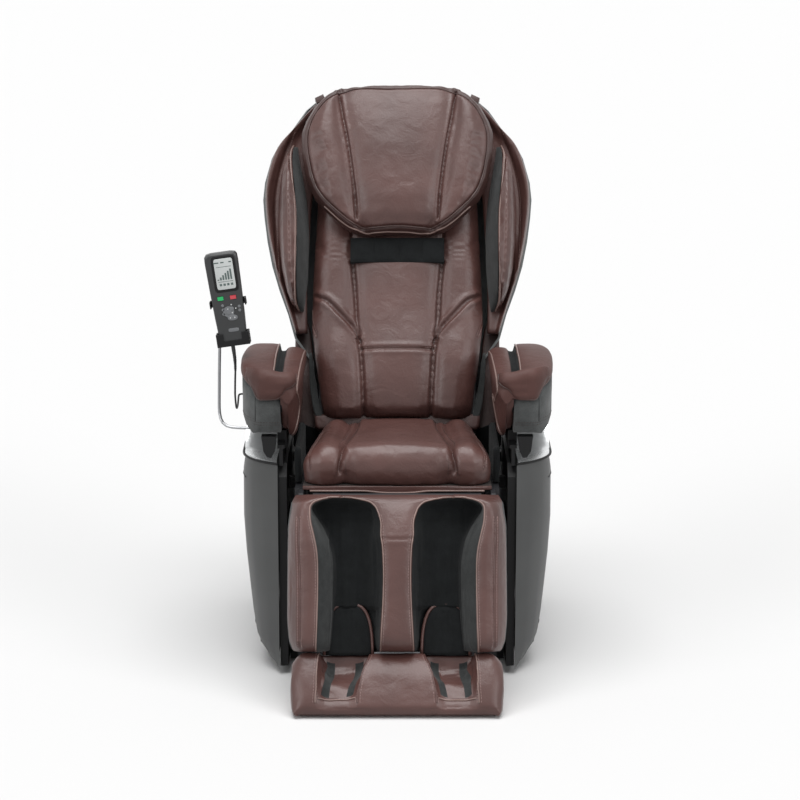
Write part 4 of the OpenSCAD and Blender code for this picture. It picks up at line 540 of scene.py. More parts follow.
def swell(obj, cap, matrix=None):
    """Cloth under pressure for 20 frames, each point's way capped, then applied.

    With a plane given, the pad keeps most of its outline in it."""
    start = coords(obj)
    m = modify(obj, "CLOTH")
    s = m.settings
    s.quality = 5
    s.mass = 0.3
    s.use_pressure = True
    s.uniform_pressure_force = 4.0
    s.effector_weights.gravity = 0
    s.tension_stiffness = s.compression_stiffness = 12
    s.bending_stiffness = 0.6
    m.collision_settings.use_collision = False
    scene = bpy.context.scene
    for f in range(1, 21):
        scene.frame_set(f)
    deps = bpy.context.evaluated_depsgraph_get()
    mesh = bpy.data.meshes.new_from_object(obj.evaluated_get(deps))
    obj.modifiers.clear()
    obj.data = mesh
    scene.frame_set(1)
    way = coords(obj) - start
    if matrix is not None:
        out = np.array(outward(matrix))
        rise = (way @ out)[:, None] * out
        # The face towards the frame stays flat, clear of the mechanism
        way = np.maximum(way @ out, 0.0)[:, None] * out + (way - rise) * 0.15
    far = np.linalg.norm(way, axis=1, keepdims=True)
    set_coords(obj, start + way * np.minimum(1.0, cap / np.maximum(far, 1e-9)))
    return obj


def local(co, matrix):
    """Points in a plane's own axes."""
    inv = np.array(matrix.inverted())
    return co @ inv[:3, :3].T + inv[:3, 3]


def tree_of(*objs):
    """One ray tree for several objects."""
    verts, faces = [], []
    for o in objs:
        base = len(verts)
        verts += [v.co for v in o.data.vertices]
        faces += [[base + i for i in p.vertices] for p in o.data.polygons]
    return BVHTree.FromPolygons(verts, faces)


def lay(tree, matrix, pts, step=4.0, lift=0.0, near=False):
    """Lays a smoothed line, in millimetres in the plane, onto a surface: cast along the plane's normal,
    or to the nearest place. Gives points and normals."""
    out_dir = outward(matrix)
    laid = []
    for p in polyline([(q[0], q[1], q[2] if len(q) > 2 else 0.0) for q in pts], step):
        spot = matrix @ (p * MM)
        if near:
            hit, nrm, _, _ = tree.find_nearest(spot)
        else:
            hit, nrm, _, _ = tree.ray_cast(spot + out_dir * 0.5, -out_dir)
        if hit is not None:
            laid.append((hit + nrm * lift * MM, nrm.copy()))
    return laid


def carve(obj, laid_lines, width, depth, ridge=0.0, fade=0):
    """Sinks sewn lines into a pad, with the pad swelling beside them; sizes in millimetres, and the number
    of points over which a line's ends fade out."""
    pts = [(p, n, min(1.0, (min(k, len(line) - 1 - k) + 0.3) / fade) if fade else 1.0)
           for line in laid_lines for k, (p, n) in enumerate(line)]
    if not pts:
        raise RuntimeError("no seam lies on " + obj.name)
    kd = KDTree(len(pts))
    for i, (p, _, _) in enumerate(pts):
        kd.insert(p, i)
    kd.balance()
    co = coords(obj)
    reach = 6.5 * width * MM
    for k in range(len(co)):
        _, i, d = kd.find(co[k])
        if d < reach:
            r = d / (width * MM)
            push = (-depth * math.exp(-r * r) + ridge * math.exp(-((r - 2.6) / 1.6) ** 2)) * pts[i][2]
            n = pts[i][1]
            co[k] += (n.x * push * MM, n.y * push * MM, n.z * push * MM)
    set_coords(obj, co)
    return obj


def crumple(obj, size_mm, depth_mm, seed=0, stretch=(1, 1, 1), matrix=None, where=None):
    """Soft uneven folds: signed noise along the normals, where wanted."""
    co, no = coords(obj), normals(obj)
    loc = local(co, matrix) if matrix is not None else co
    k = 1.0 / (size_mm * MM)
    off = Vector((seed * 3.1 + 0.37, seed * 1.7 + 0.51, seed * 2.3 + 0.73))
    amount = np.array([noise.noise(Vector((p[0] * stretch[0], p[1] * stretch[1], p[2] * stretch[2])) * k
                                   + off) for p in loc])
    if where is not None:
        amount *= where(loc / MM)
    set_coords(obj, co + no * (amount * depth_mm * MM)[:, None])
    return obj


def put(body, obj):
    """Rides an object on a body."""
    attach(obj, body)
    return obj


def finer(obj, levels=1):
    """Subdivides an object."""
    modify(obj, "SUBSURF", levels=levels, render_levels=levels)
    return bake(obj)


def soft_done(obj, body, *nodes, fill=0.6):
    """Ends a padded piece: smooth, in place of its CAD nodes, on its body; its fill is not used."""
    obj.data.shade_smooth()
    if nodes:
        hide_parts(*nodes)
    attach(obj, body)
    return obj


def welt(name, laid, radius, mat, body, closed=False):
    """A piping cord along a laid line, sunk by two thirds of its radius."""
    if len(laid) < 3:
        raise RuntimeError("no surface under " + name)
    return put(body, tube(name, [p + n * radius * 0.33 * MM for p, n in laid], radius * MM, mat, 2, closed))


def stitches(name, lines, body, mat="thread", length=4.4, gap=2.0, radius=0.5):
    """Rows of short thread ends along laid lines, each a small bevelled bar."""
    bm = bmesh.new()
    for laid in lines:
        run = [0.0]
        for (a, _), (b, _) in zip(laid[:-1], laid[1:]):
            run.append(run[-1] + (b - a).length / MM)
        pos, i = 0.0, 0
        while pos + length < run[-1]:
            i = next(k for k in range(i, len(run)) if run[k] >= pos)
            j = next(k for k in range(i, len(run)) if run[k] >= pos + length)
            a, b, nrm = laid[i][0], laid[j][0], laid[i][1]
            if 1e-5 < (b - a).length < 2 * length * MM:
                x = (b - a).normalized()
                y = nrm.cross(x).normalized()
                turn = Matrix((x, y, x.cross(y))).transposed().to_4x4()
                turn.translation = (a + b) / 2
                size = Matrix.Diagonal(((b - a).length, radius * 2 * MM, radius * 1.5 * MM, 1))
                bar = bmesh.ops.create_cube(bm, size=1.0, matrix=turn @ size)["verts"]
                edges = {e for v in bar for e in v.link_edges}
                bmesh.ops.bevel(bm, geom=list(edges), offset=radius * 0.5 * MM, offset_type="OFFSET",
                                segments=1, profile=0.5, affect="EDGES", material=-1)
            pos += length + gap
    return put(body, from_bm(name, bm, mat))


def beside(pts, shift):
    """A 2D line moved sideways by so many millimetres."""
    out = []
    for i, p in enumerate(pts):
        a, b = pts[max(i - 1, 0)], pts[min(i + 1, len(pts) - 1)]
        dx, dy = b[0] - a[0], b[1] - a[1]
        n = math.hypot(dx, dy) or 1.0
        out.append((p[0] - dy / n * shift, p[1] + dx / n * shift, *p[2:]))
    return out


def flip(pts):
    """The same line on the other side."""
    return [(-p[0], *p[1:]) for p in pts]


def both(*lines):
    """Each line and its mirror image."""
    return [*lines, *(flip(p) for p in lines)]


def seam(name, obj, matrix, lines, body, width=4.0, depth=4.0, ridge=1.0, rows=(-4.0, 4.0), near=False,
         fade=0, mat="thread_dark"):
    """Sews lines into a pad, then lays a row of stitches on either side of each."""
    tree = tree_of(obj)
    carve(obj, [lay(tree, matrix, p, 3.0, 0.0, near) for p in lines], width, depth, ridge, fade)
    if rows:
        tree = tree_of(obj)
        stitches(name, [lay(tree, matrix, beside(p, r), 1.1, 0.15, near) for p in lines for r in rows],
                 body, mat)
    return obj


def outline(obj, matrix, centre, count):
    """The furthest points of a pad round a centre in the plane, as a closed 2D line in millimetres."""
    loc = local(coords(obj), matrix) / MM
    dx, dy = loc[:, 0] - centre[0], loc[:, 1] - centre[1]
    ang = np.arctan2(dy, dx)
    rad = np.hypot(dx, dy)
    far = np.zeros(count)
    slot = ((ang + math.pi) / (2 * math.pi) * count).astype(int) % count
    np.maximum.at(far, slot, rad)
    far = np.convolve(np.concatenate([far[-2:], far, far[:2]]), np.ones(5) / 5, "valid")
    return [(centre[0] + far[k] * math.cos(a), centre[1] + far[k] * math.sin(a))
            for k in range(count) for a in [-math.pi + 2 * math.pi * (k + 0.5) / count]]


def inset(line, centre, gap):
    """A closed line drawn in towards its centre."""
    out = []
    for x, y in line:
        d = math.hypot(x - centre[0], y - centre[1])
        out.append((centre[0] + (x - centre[0]) * (d - gap) / d, centre[1] + (y - centre[1]) * (d - gap) / d))
    return out


def outside(line, centre, x, y):
    """Whether a point lies beyond a closed line round a centre."""
    k = int((math.atan2(y - centre[1], x - centre[0]) + math.pi) / (2 * math.pi) * len(line)) % len(line)
    far = math.hypot(line[k][0] - centre[0], line[k][1] - centre[1])
    return math.hypot(x - centre[0], y - centre[1]) > far


# Sizes and colours a user would change
class ChairSettings(bpy.types.PropertyGroup):
    """Sizes and colours of the upholstery."""
    leather_color: bpy.props.FloatVectorProperty(
        name="Leather", description="Middle tone of the synthetic leather", size=4, subtype="COLOR",
        min=0.0, max=1.0, default=linear("#513733"))
    fabric_color: bpy.props.FloatVectorProperty(
        name="Fabric", description="Middle tone of the knitted fabric on the arms and hips",
        size=4, subtype="COLOR", min=0.0, max=1.0, default=linear("#505252"))
    panel_color: bpy.props.FloatVectorProperty(
        name="Side panels", description="Colour of the moulded side panels", size=4, subtype="COLOR",
        min=0.0, max=1.0, default=linear("#414242"))
    welt_radius: bpy.props.FloatProperty(
        name="Piping radius", description="Radius of the covered piping cord, in millimetres",
        default=2.6, min=1.0, max=5.0)
    seam_depth: bpy.props.FloatProperty(
        name="Seam depth", description="How far a sewn line is drawn into a pad, in millimetres",
        default=4.5, min=0.0, max=12.0)
    swell_cap: bpy.props.FloatProperty(
        name="Swell", description="The most that a pad's surface moves when it is filled, in millimetres",
        default=7.0, min=0.0, max=30.0)
    lamp_strength: bpy.props.FloatProperty(
        name="Lamp strength",
        description="Strength of the soft light from above, in watts to the square metre",
        default=3.0, min=0.0, max=20.0)


def props():
    """The scene's chair settings."""
    return bpy.context.scene.chair_settings


# The camera that matches the photograph, in metres, degrees and millimetres
CAMERA_AT = (0.0064, -5.532, 1.7559)
CAMERA_TILT = 78
CAMERA_LENS = 107.2

# Height and half width of the back, the pillow's middle, toe and run of the foot unit
BACK_HEIGHT = 886
BACK_HALF = 326
PILLOW_MID = (0, 690)
FOOT_TOE = -612
FOOT_RUN = 168
# The arm slot's middle, the heights of the arm's double stitches and their gap, the handset's front
ARM_SLOT = 278.5
ARM_STITCH_FRONT = 597
ARM_STITCH_FLANK = 603
STITCH_GAP = 5.5
HAND_FACE = 14.0

# The handset cord from its strain relief to the gland
CORD_PATH = [(-374.2, -170, 729), (-373, -170, 720), (-372, -170, 709), (-371.5, -169.5, 697),
             (-371.5, -169, 685), (-372, -167.5, 673), (-372.5, -166, 661), (-373, -163, 649),
             (-373.5, -159, 637), (-374, -154, 625.5), (-374, -147.5, 614.5), (-374, -139.5, 604.5),
             (-374, -130.5, 595.5), (-374, -120, 588.5), (-374, -108.5, 584), (-374, -96.5, 581.5),
             (-374, -84, 581), (-374, -72, 582.5), (-374, -61, 586), (-374, -50, 591), (-374, -42, 595.5),
             (-373.8, -35.5, 598.3), (-372.9, -30.6, 599.5), (-370.5, -26.9, 600), (-367, -24.6, 600),
             (-363.6, -24, 600), (-362.1, -24, 600)]

FINISH = {"frame_paint": "paint", "rubber_feet": "rubber", "steel": "steel", "seat_board": "board",
          "brown_leather": "leather", "grey_fabric": "knit", "black_fabric": "knit_black",
          "grey_shell": "panel", "black_plastic": "black", "bright_trim": "chrome", "switch_red": "red",
          "box_metal": "alu", "roller_rubber": "roller", "stand_chrome": "tube", "key_green": "green",
          "key_red": "red", "key_grey": "key", "cord_black": "cable"}


# One operator for each piece or group
class CHAIR_OT_camera(bpy.types.Operator):
    """Places the camera at the photograph's viewing angle"""
    bl_idname = "chair.camera"
    bl_label = "Camera"

    def execute(self, context):
        cam = bpy.data.cameras.new("camera")
        cam.lens = CAMERA_LENS
        cam.sensor_width = 36.0
        cam.clip_end = 100.0
        obj = bpy.data.objects.new("camera", cam)
        obj.location = CAMERA_AT
        obj.rotation_euler = (math.radians(CAMERA_TILT), 0, 0)
        context.scene.collection.objects.link(obj)
        context.scene.camera = obj
        return {"FINISHED"}


class CHAIR_OT_cord(bpy.types.Operator):
    """Lays the handset's cord from its strain relief to the gland on the arm"""
    bl_idname = "chair.cord"
    bl_label = "Handset cord"

    def execute(self, context):
        path = polyline(in_mm(CORD_PATH), 0.004)
        cord = tube("handset_cord_lay", path, 0.00225, "cable", 2)
        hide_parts("handset_cord")
        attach(cord, "hand_unit")
        relief = tube("cord_strain_relief", polyline(in_mm(CORD_PATH[:5]), 0.002), 0.0042, "cable", 2,
                      taper=lambda t: 1.0 - 0.42 * t + (0.09 if int(t * 18) % 2 else 0.0))
        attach(relief, "hand_unit")
        return {"FINISHED"}


class CHAIR_OT_finishes(bpy.types.Operator):
    """Gives every CAD piece the finish of its material"""
    bl_idname = "chair.finishes"
    bl_label = "Finishes"

    def execute(self, context):
        slot_of = {s["node"]: s["material_slot"] for s in frame["record"]["subparts"]}
        for name, obj in frame["nodes"].items():
            mat = MAT[FINISH[slot_of[name]]]
            if not obj.material_slots:
                obj.data.materials.append(mat)
            for s in obj.material_slots:
                s.material = mat
        return {"FINISHED"}


class CHAIR_OT_seat(bpy.types.Operator):
    """Makes the seat cushion with its channels and rolled front, its hem and its side gussets"""
    bl_idname = "chair.seat"
    bl_label = "Seat cushion"

    def execute(self, context):
        p = props()
        pad = soft_copy("seat_pad", "seat_cushion", "leather", 0.0055)
        swell(pad, p.swell_cap * MM, SEAT)
        finer(pad)
        # The seat rises to the back's foot
        co = coords(pad)
        high = np.clip((co[:, 2] - 0.48) / 0.05, 0, 1)
        co[:, 2] += 0.009 * np.exp(-((co[:, 1] + 0.035) / 0.055) ** 2) * high
        set_coords(pad, co)
        channel = [(97, -22, 545), (98, -60, 550), (108, -150, 552), (119, -240, 548), (123, -300, 535),
                   (124, -335, 517), (123, -346, 497), (121, -348, 478)]
        seam("seat_stitch", pad, SEAT, both(channel), "base", 5.0, p.seam_depth * 1.9, 2.2, (-5, 5), True,
             fade=5)
        edge = [(-193, -120, 548), (-196, -220, 548), (-200, -300, 534), (-204, -332, 516), (-205, -344, 492)]
        seam("seat_edge_stitch", pad, SEAT, both(edge), "base", 3.0, 1.8, 0.4, (-2.2, 2.2), True,
             mat="thread")
        crumple(pad, 60, 1.8, 1, (1.0, 0.6, 1.0))
        crumple(pad, 22, 0.5, 2)
        soft_done(pad, "base", "seat_cushion", fill=0.8)
        hem = skin("seat_hem_strip", "seat_hem", "leather")
        soft_done(hem, "base", "seat_hem", fill=0.9)
        # The hem's piping is the lighter leather, as painted highlight on its roll
        sag = [(x, -344.0, 444.5 - 4.5 * math.exp(-((x / 55) ** 4))) for x in range(-196, 197, 14)]
        put("base", tube("seat_hem_piping", polyline(in_mm(sag), 0.004), 0.0022, "leather_painted_highlight"))
        for way, side in SIDES:
            line = [(way * 217, 450), (way * 217, 526), (way * 221, 532), (way * 228, 532), (way * 232, 526),
                    (way * 233, 500), (way * 231, 450)]
            put("base", plate("seat_gusset_" + side, Matrix.Translation((0, -0.03, 0)) @ FRONT,
                              line, 0, 262, "knit_black", 7.0, 4))
            line = [(way * 186, 447), (way * 233, 447), (way * 248, 470), (way * 248, 520),
                    (way * 240, 527), (way * 186, 505)]
            put("base", plate("seat_curtain_" + side, FRONT, line, -9, -3, "knit_black", 2.0))
        return {"FINISHED"}


class CHAIR_OT_back(bpy.types.Operator):
    """Makes the back cushion, its panels and bolsters, and the neck band in four panels"""
    bl_idname = "chair.back"
    bl_label = "Back cushion"

    def execute(self, context):
        p = props()
        pad = soft_copy("back_pad", "back_cushion", "leather", 0.007)
        swell(pad, p.swell_cap * MM, BACK)
        finer(pad)
        panel = [(80, 54), (80.5, 106), (85.4, 195), (94.5, 266), (101, 363), (107, 428)]
        upper = [(107.6, 486), (107.6, 560)]
        cross = [(-86, 212.6), (0, 212.6), (86, 212.6)]
        bolster = [(206, 354), (186, 343), (165.6, 331), (131.6, 295.8), (102.2, 263.3), (86, 225)]
        edge = [(203, 590), (207, 463), (206, 357), (203, 291), (191, 249)]
        seam("back_stitch", pad, BACK, both(panel), "backrest", 3.6, p.seam_depth * 1.3, 1.8)
        seam("back_cross_stitch", pad, BACK, [cross], "backrest", 3.6, p.seam_depth, 1.6, (4.0,),
             mat="thread")
        seam("bolster_stitch", pad, BACK, both(bolster), "backrest", 4.2, p.seam_depth * 1.5, 3.0, (), fade=4)
        seam("column_stitch", pad, BACK, both(upper), "backrest", 4.0, p.seam_depth, 1.0, ())
        seam("back_edge_stitch", pad, BACK, both(edge), "backrest", 3.0, 2.2, 0.6, (-2.4, 2.4), mat="thread")
        crumple(pad, 75, 2.6, 3, (1.0, 0.55, 1.0), BACK)
        crumple(pad, 26, 0.6, 4, (1.0, 0.5, 1.0), BACK)
        # Short level creases where the columns bend
        crumple(pad, 9, 1.3, 21, (0.16, 1.0, 0.2), BACK,
                lambda m: np.exp(-((m[:, 1] - 455) / 26) ** 2) * (abs(m[:, 0]) > 112) * (abs(m[:, 0]) < 200))
        soft_done(pad, "backrest", "back_cushion", fill=0.8)

        # The tail is the darker leather, as painted shade under the cushion
        line = [(-186, 26), (186, 26), (196, 34), (198, 66), (-198, 66), (-196, 34)]
        tail = plate("back_tail", BACK, line, 0, 28, "leather_dark_and_painted_shade", 9.0, 5)
        soft_done(tail, "backrest", fill=0.5)
        sewn = [-112, -56, 5, 59, 112]
        tree = tree_of(pad)
        # The band lies on the filled cushion
        base = max(local(np.array(q), BACK)[2] / MM for q, _ in
                   lay(tree, BACK, [(-100, 430), (100, 430), (100, 484), (-100, 484)], 12))

        def lie(x, s):
            k = next(i for i in range(4) if x <= sewn[i + 1])
            t = (x - sewn[k]) / (sewn[k + 1] - sewn[k])
            crown = 4.0 * (4 * t * (1 - t)) ** 0.35 * min(1.0, min(s - 427, 487 - s) / 9)
            return BACK @ Vector((x * MM, s * MM, (max(55.5, base + 0.5) + crown) * MM))

        parts = (0, 0.03, 0.1, 0.25, 0.5, 0.75, 0.9, 0.97, 1)
        cols = sorted({sewn[k] + (sewn[k + 1] - sewn[k]) * t for k in range(4) for t in parts})
        rows = [427, 428, 431, 437, 448, 457, 466, 477, 483, 486, 487]
        band = surface("neck_band_cover", cols, rows, lie, ["knit_black"])
        close_down(band, BACK, 46)
        soft_done(band, "backrest", "neck_band", fill=0.7)
        return {"FINISHED"}


class CHAIR_OT_pillow(bpy.types.Operator):
    """Makes the head pillow in three crowned sections with its border, piping and strap tabs"""
    bl_idname = "chair.pillow"
    bl_label = "Head pillow"

    def execute(self, context):
        p = props()
        pad = soft_copy("head_pad", "head_pillow", "leather", 0.006)
        swell(pad, p.swell_cap * MM, BACK)
        finer(pad)
        rim = outline(pad, BACK, PILLOW_MID, 120)
        inner = inset(rim, PILLOW_MID, 15)
        section = [(97, 524), (100, 560), (105, 610), (117, 700), (131, 780), (143, 858)]
        seam("pillow_stitch", pad, BACK, both(section), "pillow", 2.8, p.seam_depth * 1.5, 1.8, ())
        seam("pillow_border", pad, BACK, [inner + inner[:1]], "pillow", 3.2, 2.6, 1.0, ())
        crumple(pad, 70, 2.0, 5, (1.0, 0.6, 1.0), BACK)
        crumple(pad, 24, 0.5, 6, (1, 1, 1), BACK)
        # Faces outside the sewn border take the darker leather: painted shade of the recessed border
        pad.data.materials.append(MAT["leather_dark_and_painted_shade"])
        loc = local(coords(pad), BACK) / MM
        for poly in pad.data.polygons:
            x, s, _ = loc[list(poly.vertices)].mean(axis=0)
            if outside(inner, PILLOW_MID, x, s):
                poly.material_index = 1
        soft_done(pad, "pillow", "head_pillow", fill=0.8)
        tree = tree_of(pad)
        welt("pillow_piping", lay(tree, BACK, inner, 4), p.welt_radius, "leather_dark_and_painted_shade", "pillow", True)
        # The lower piping is the lighter leather, as painted highlight
        low = sorted((q for q in inset(rim, PILLOW_MID, 5) if q[1] < 560), key=lambda q: q[0])
        welt("pillow_lower_piping", lay(tree, BACK, low, 4), p.welt_radius * 0.75, "leather_painted_highlight", "pillow")
        for way, side in SIDES:
            line = [(way * (186 + a), 843 + b) for a, b in ((-13, -8), (9, -16), (14, -2), (-6, 8))]
            put("backrest", plate("pillow_tab_" + side, BACK, line, 30, 58, "leather_dark_and_painted_shade", 2.0))
        return {"FINISHED"}


# The crest between a shoulder pad's leather and its fabric face, as shares: up the back, across, out of it
PAD_ROWS = [(0.355, 0.68, 0.18), (0.372, 0.665, 0.6), (0.41, 0.65, 0.85), (0.47, 0.64, 0.96),
            (0.54, 0.635, 1.0), (0.61, 0.638, 1.0), (0.68, 0.66, 0.94), (0.74, 0.69, 0.8),
            (0.79, 0.715, 0.55), (0.82, 0.73, 0.2)]


class CHAIR_OT_shoulders(bpy.types.Operator):
    """Makes the shoulder air pads, their fabric faces and the piping between them"""
    bl_idname = "chair.shoulders"
    bl_label = "Shoulder pads"

    def execute(self, context):
        p = props()
        for way, side in SIDES:
            node = "shoulder_pad_" + side
            pad = soft_copy(node + "_cover", node, "leather", 0.006)
            swell(pad, p.swell_cap * 0.5 * MM)
            finer(pad)
            band = [(way * (BACK_HALF * a + 30), BACK_HEIGHT * s, 60 * h) for s, a, h in PAD_ROWS[1:-1]]
            seam(node + "_stitch", pad, BACK, [band], "backrest", 3.0, 2.6, 1.0, (2.5,), mat="thread")
            crumple(pad, 50, 1.8, 7, (1.0, 0.5, 1.0), BACK)
            crumple(pad, 20, 0.5, 8)
            soft_done(pad, "backrest", node, fill=0.8)
            # The crest piping is the lighter leather, as painted highlight on a darker cord
            crest = [(way * (BACK_HALF * a + 8 + 33 * h * 0.84), BACK_HEIGHT * s, 18 + 100 * h * 0.84)
                     for s, a, h in PAD_ROWS]
            path = polyline([BACK @ q for q in in_mm(crest)], 0.005)
            put("backrest", tube(node + "_piping", path, 0.002, "leather_painted_highlight"))
        face = skin("shoulder_face_fabric", "shoulder_faces", "knit_mid", 2, 75, 0.5)
        crumple(face, 30, 1.0, 17, (1, 1, 0.5))
        soft_done(face, "backrest", "shoulder_faces", fill=0.8)
        return {"FINISHED"}


class CHAIR_OT_arms(bpy.types.Operator):
    """Makes the arm pads with their flaps, the fabric arm shells and the hip pieces"""
    bl_idname = "chair.arms"
    bl_label = "Arms"

    def execute(self, context):
        p = props()
        for way, side in SIDES:
            body = "arm_" + side
            # The pad is the matt leather, made a little darker as painted shade
            pad = skin("arm_pad_" + side, "arm_pads_" + side, "leather_matt_painted_shade", 2, 80, 0.35)
            crumple(pad, 60, 2.2, 9, (1, 0.7, 1))
            crumple(pad, 18, 0.4, 10)
            pad.data.materials.append(MAT["knit_black"])
            for poly in pad.data.polygons:
                c = poly.center
                if 0.2585 < abs(c.x) < 0.2765 and c.z > 0.62 and poly.normal.y > -0.8:
                    poly.material_index = 1
            soft_done(pad, body, "arm_pads_" + side, fill=0.8)
            tree = tree_of(pad)
            rim = [(-326, 566), (-316, 556), (-270, 546), (-160, 545), (-40, 548), (20, 552)]
            welt("arm_inner_piping_" + side, lay(tree, side_plane(-way), rim, 4), p.welt_radius * 0.8,
                 "leather_dark_and_painted_shade", body)
            shell = skin("arm_body_" + side, "arm_shell_" + side, "knit", 1, 30)
            flap("arm_flap_" + side, way, tree_of(pad, shell), body)
            front = [(227, 690), (224.5, 660), (223.5, 620), (226, 590), (232, 566), (240, 552)]
            front = [(way * x, z) for x, z in front]
            top = [(way * x, y, 760) for x, y in ((225, -318), (222, -240), (219, -120), (217, 20))]
            slot = [(way * ARM_SLOT, y, 760) for y in (-326, -280, -200, -100, 20)]
            # The arm's piping cords are the lighter leather, as painted highlight
            for name, plane, line in (("face", FRONT, front), ("crest", SEAT, top), ("slot", SEAT, slot)):
                welt("arm_%s_piping_%s" % (name, side), lay(tree, plane, line, 4),
                     p.welt_radius * 0.7, "leather_painted_highlight", body)
            tree = tree_of(shell)
            for k in range(2):
                high = ARM_STITCH_FRONT - k * STITCH_GAP
                line = [(way * 264, high), (way * 316, high), (way * 330, high + 2)]
                stitches("arm_front_stitch_%s_%d" % (side, k), [lay(tree, FRONT, line, 1.1, 0.2)], body,
                         "thread_dark")
                line = [(y, ARM_STITCH_FLANK - k * STITCH_GAP) for y in (-312, -200, -60, 26)]
                stitches("arm_flank_stitch_%s_%d" % (side, k), [lay(tree, side_plane(way), line, 1.1, 0.2)],
                         body, "thread_dark")
            fold = lay(tree, FRONT, [(way * 316, 662), (way * 317.5, 640), (way * 318, 599)], 2, 0.0)
            welt("arm_front_fold_" + side, fold, 1.1, "knit_mid", body)
            soft_done(shell, body, "arm_shell_" + side, fill=0.95)
        hips = skin("hip_fabric", "hip_fabrics", "knit_mid", 3, 80)
        crumple(hips, 38, 3.0, 11, (1, 0.5, 0.6))
        soft_done(hips, "backrest", "hip_fabrics", fill=0.6)
        # Dark leather that closes the side of the back behind the arms
        for way, side in SIDES:
            line = [(190, 24), (240, 26), (246, 60), (246, 200), (246, 262), (248, 300), (215, 300),
                    (200, 200)]
            line = [(way * x, s) for x, s in line]
            put("backrest", plate("hip_gusset_" + side, BACK, line, -40, -28, "leather_dark_and_painted_shade", 4.0, 3, 8))
        return {"FINISHED"}


# The flap's lower edge: distance from the middle, height
FLAP_LOW = [(226, 696), (228, 688), (233, 682), (241, 678), (250, 674), (256, 665), (262, 658), (269, 652),
            (308, 650), (314, 654), (330, 684), (341, 704)]


def flap(name, way, tree, body):
    """The padded leather flap that covers an arm's front and turns over its top edge."""
    cols = [226, 227, 229, 232, 236, 241, 247, 252, 257, 262, 267, 272, 277, 282, 288, 294, 300, 306, 310,
            314, 318, 323, 328, 333, 338, 341]
    solid = [x for x in cols if not 257 < x < 279]
    face, top = [], []
    for x in solid:
        hits = [tree.ray_cast(Vector((way * x * MM, -1, z * MM)), Vector((0, 1, 0)))[0]
                for z in (670, 680, 690, 700)]
        face.append(min(h.y for h in hits if h is not None) / MM)
        hits = [tree.ray_cast(Vector((way * x * MM, y * MM, 1)), Vector((0, 0, -1)))[0]
                for y in (-310, -290, -260, -220)]
        top.append(max(h.z for h in hits if h is not None) / MM)
    face, top = (np.convolve(np.pad(np.interp(cols, solid, v), 2, "edge"), np.ones(5) / 5, "valid")
                 for v in (face, top))

    def place(x, w):
        k = cols.index(x)
        high = top[k] - 16
        low = min(along(FLAP_LOW, x), high - 3)
        a = max(0.0, w - 0.7) / 0.3 * math.pi / 2
        z = low + (high - low) * min(1.0, w / 0.7) + 16 * math.sin(a)
        y = face[k] + 16 * (1 - math.cos(a))
        edge = min(z - low, (x - 226) * 1.2, (341 - x) * 0.9)
        puff = 0.5 + 6.5 * (1 - math.exp(-max(0.0, edge) / 6))
        if w >= 1:
            puff = -3
        return Vector((way * x * MM, (y - puff * math.cos(a)) * MM, (z + puff * math.sin(a)) * MM))

    rows = [0, 0.03, 0.08, 0.16, 0.26, 0.38, 0.5, 0.6, 0.68, 0.76, 0.84, 0.92, 0.97, 1]
    # The flap is the matt leather, made a little darker as painted shade
    obj = surface(name, cols, rows, place, ["leather_matt_painted_shade"], None, 2)
    edge = [place(x, 0) for x in cols[::-1]] + [place(226, w) for w in (0.16, 0.38, 0.6, 0.76, 0.92)]
    bm = bmesh.new()
    bm.from_mesh(obj.data)
    made = bmesh.ops.extrude_edge_only(bm, edges=[e for e in bm.edges if e.is_boundary])["geom"]
    bmesh.ops.translate(bm, vec=(0, 0.012, 0), verts=[v for v in made if isinstance(v, bmesh.types.BMVert)])
    bmesh.ops.recalc_face_normals(bm, faces=bm.faces)
    if sum(f.normal.y * f.calc_area() for f in bm.faces) > 0:
        bmesh.ops.reverse_faces(bm, faces=bm.faces)
    bm.to_mesh(obj.data)
    bm.free()
    crumple(obj, 46, 2.6, 19)
    # Pulls towards the lobe over the inner pad
    crumple(obj, 14, 1.2, 27, (0.25, 1, 1), None, within(x=(-1, 292), z=(-9999, 716)))
    soft_done(obj, body, fill=0.5)
    put(body, tube(name + "_piping", polyline(edge, 0.003), 0.0016, "leather_dark_and_painted_shade"))


# Edges of the calf wells in the leg's plane: height on the slope, distance from the middle
CALF_IN = [(9.5, 123), (1.3, 123), (0.1, 106), (-1.2, 96), (-3, 84), (-5.1, 74.8), (-9.2, 60.8), (-17, 51),
           (-26.7, 45.1), (-51.2, 37.5), (-82.5, 37), (-110.4, 33), (-169.6, 31), (-239, 32.9),
           (-308.4, 36.8), (-336, 38)]
CALF_OUT = [(9.5, 125), (1.3, 125), (0.1, 147), (-1.2, 153), (-3, 163), (-5.8, 172.5), (-9.5, 181),
            (-14.5, 186.5), (-23.4, 189.7), (-51.4, 188.1), (-82.6, 180.8), (-110.5, 174.9), (-141.9, 172),
            (-204.1, 171.8), (-273.4, 173.4), (-336, 175.8)]
CALF_STRIP = [(9.5, 0.6), (-20, 0.6), (-30, 4), (-45, 14), (-62, 22), (-90, 29), (-140, 31), (-260, 30),
              (-336, 27)]
CALF_WIDE = [(-336, 225), (-330, 230), (-313, 236), (-265, 240), (-60, 239), (-9, 232), (9.5, 222)]
CALF_HIGH = [(-336, 84), (-335, 93), (-331, 101), (-324, 108), (-313, 113), (-290, 114), (-60, 114),
             (-25, 112), (-9, 109), (-1.6, 105), (3, 100), (6.5, 93), (8.8, 82), (9.5, 66)]
CALF_DEEP = [(-336, 84), (-80, 84), (-52, 80), (-30, 68), (-17, 54), (-9, 40), (-4, 26), (-1.2, 14),
             (1.3, 0), (9.5, 0)]


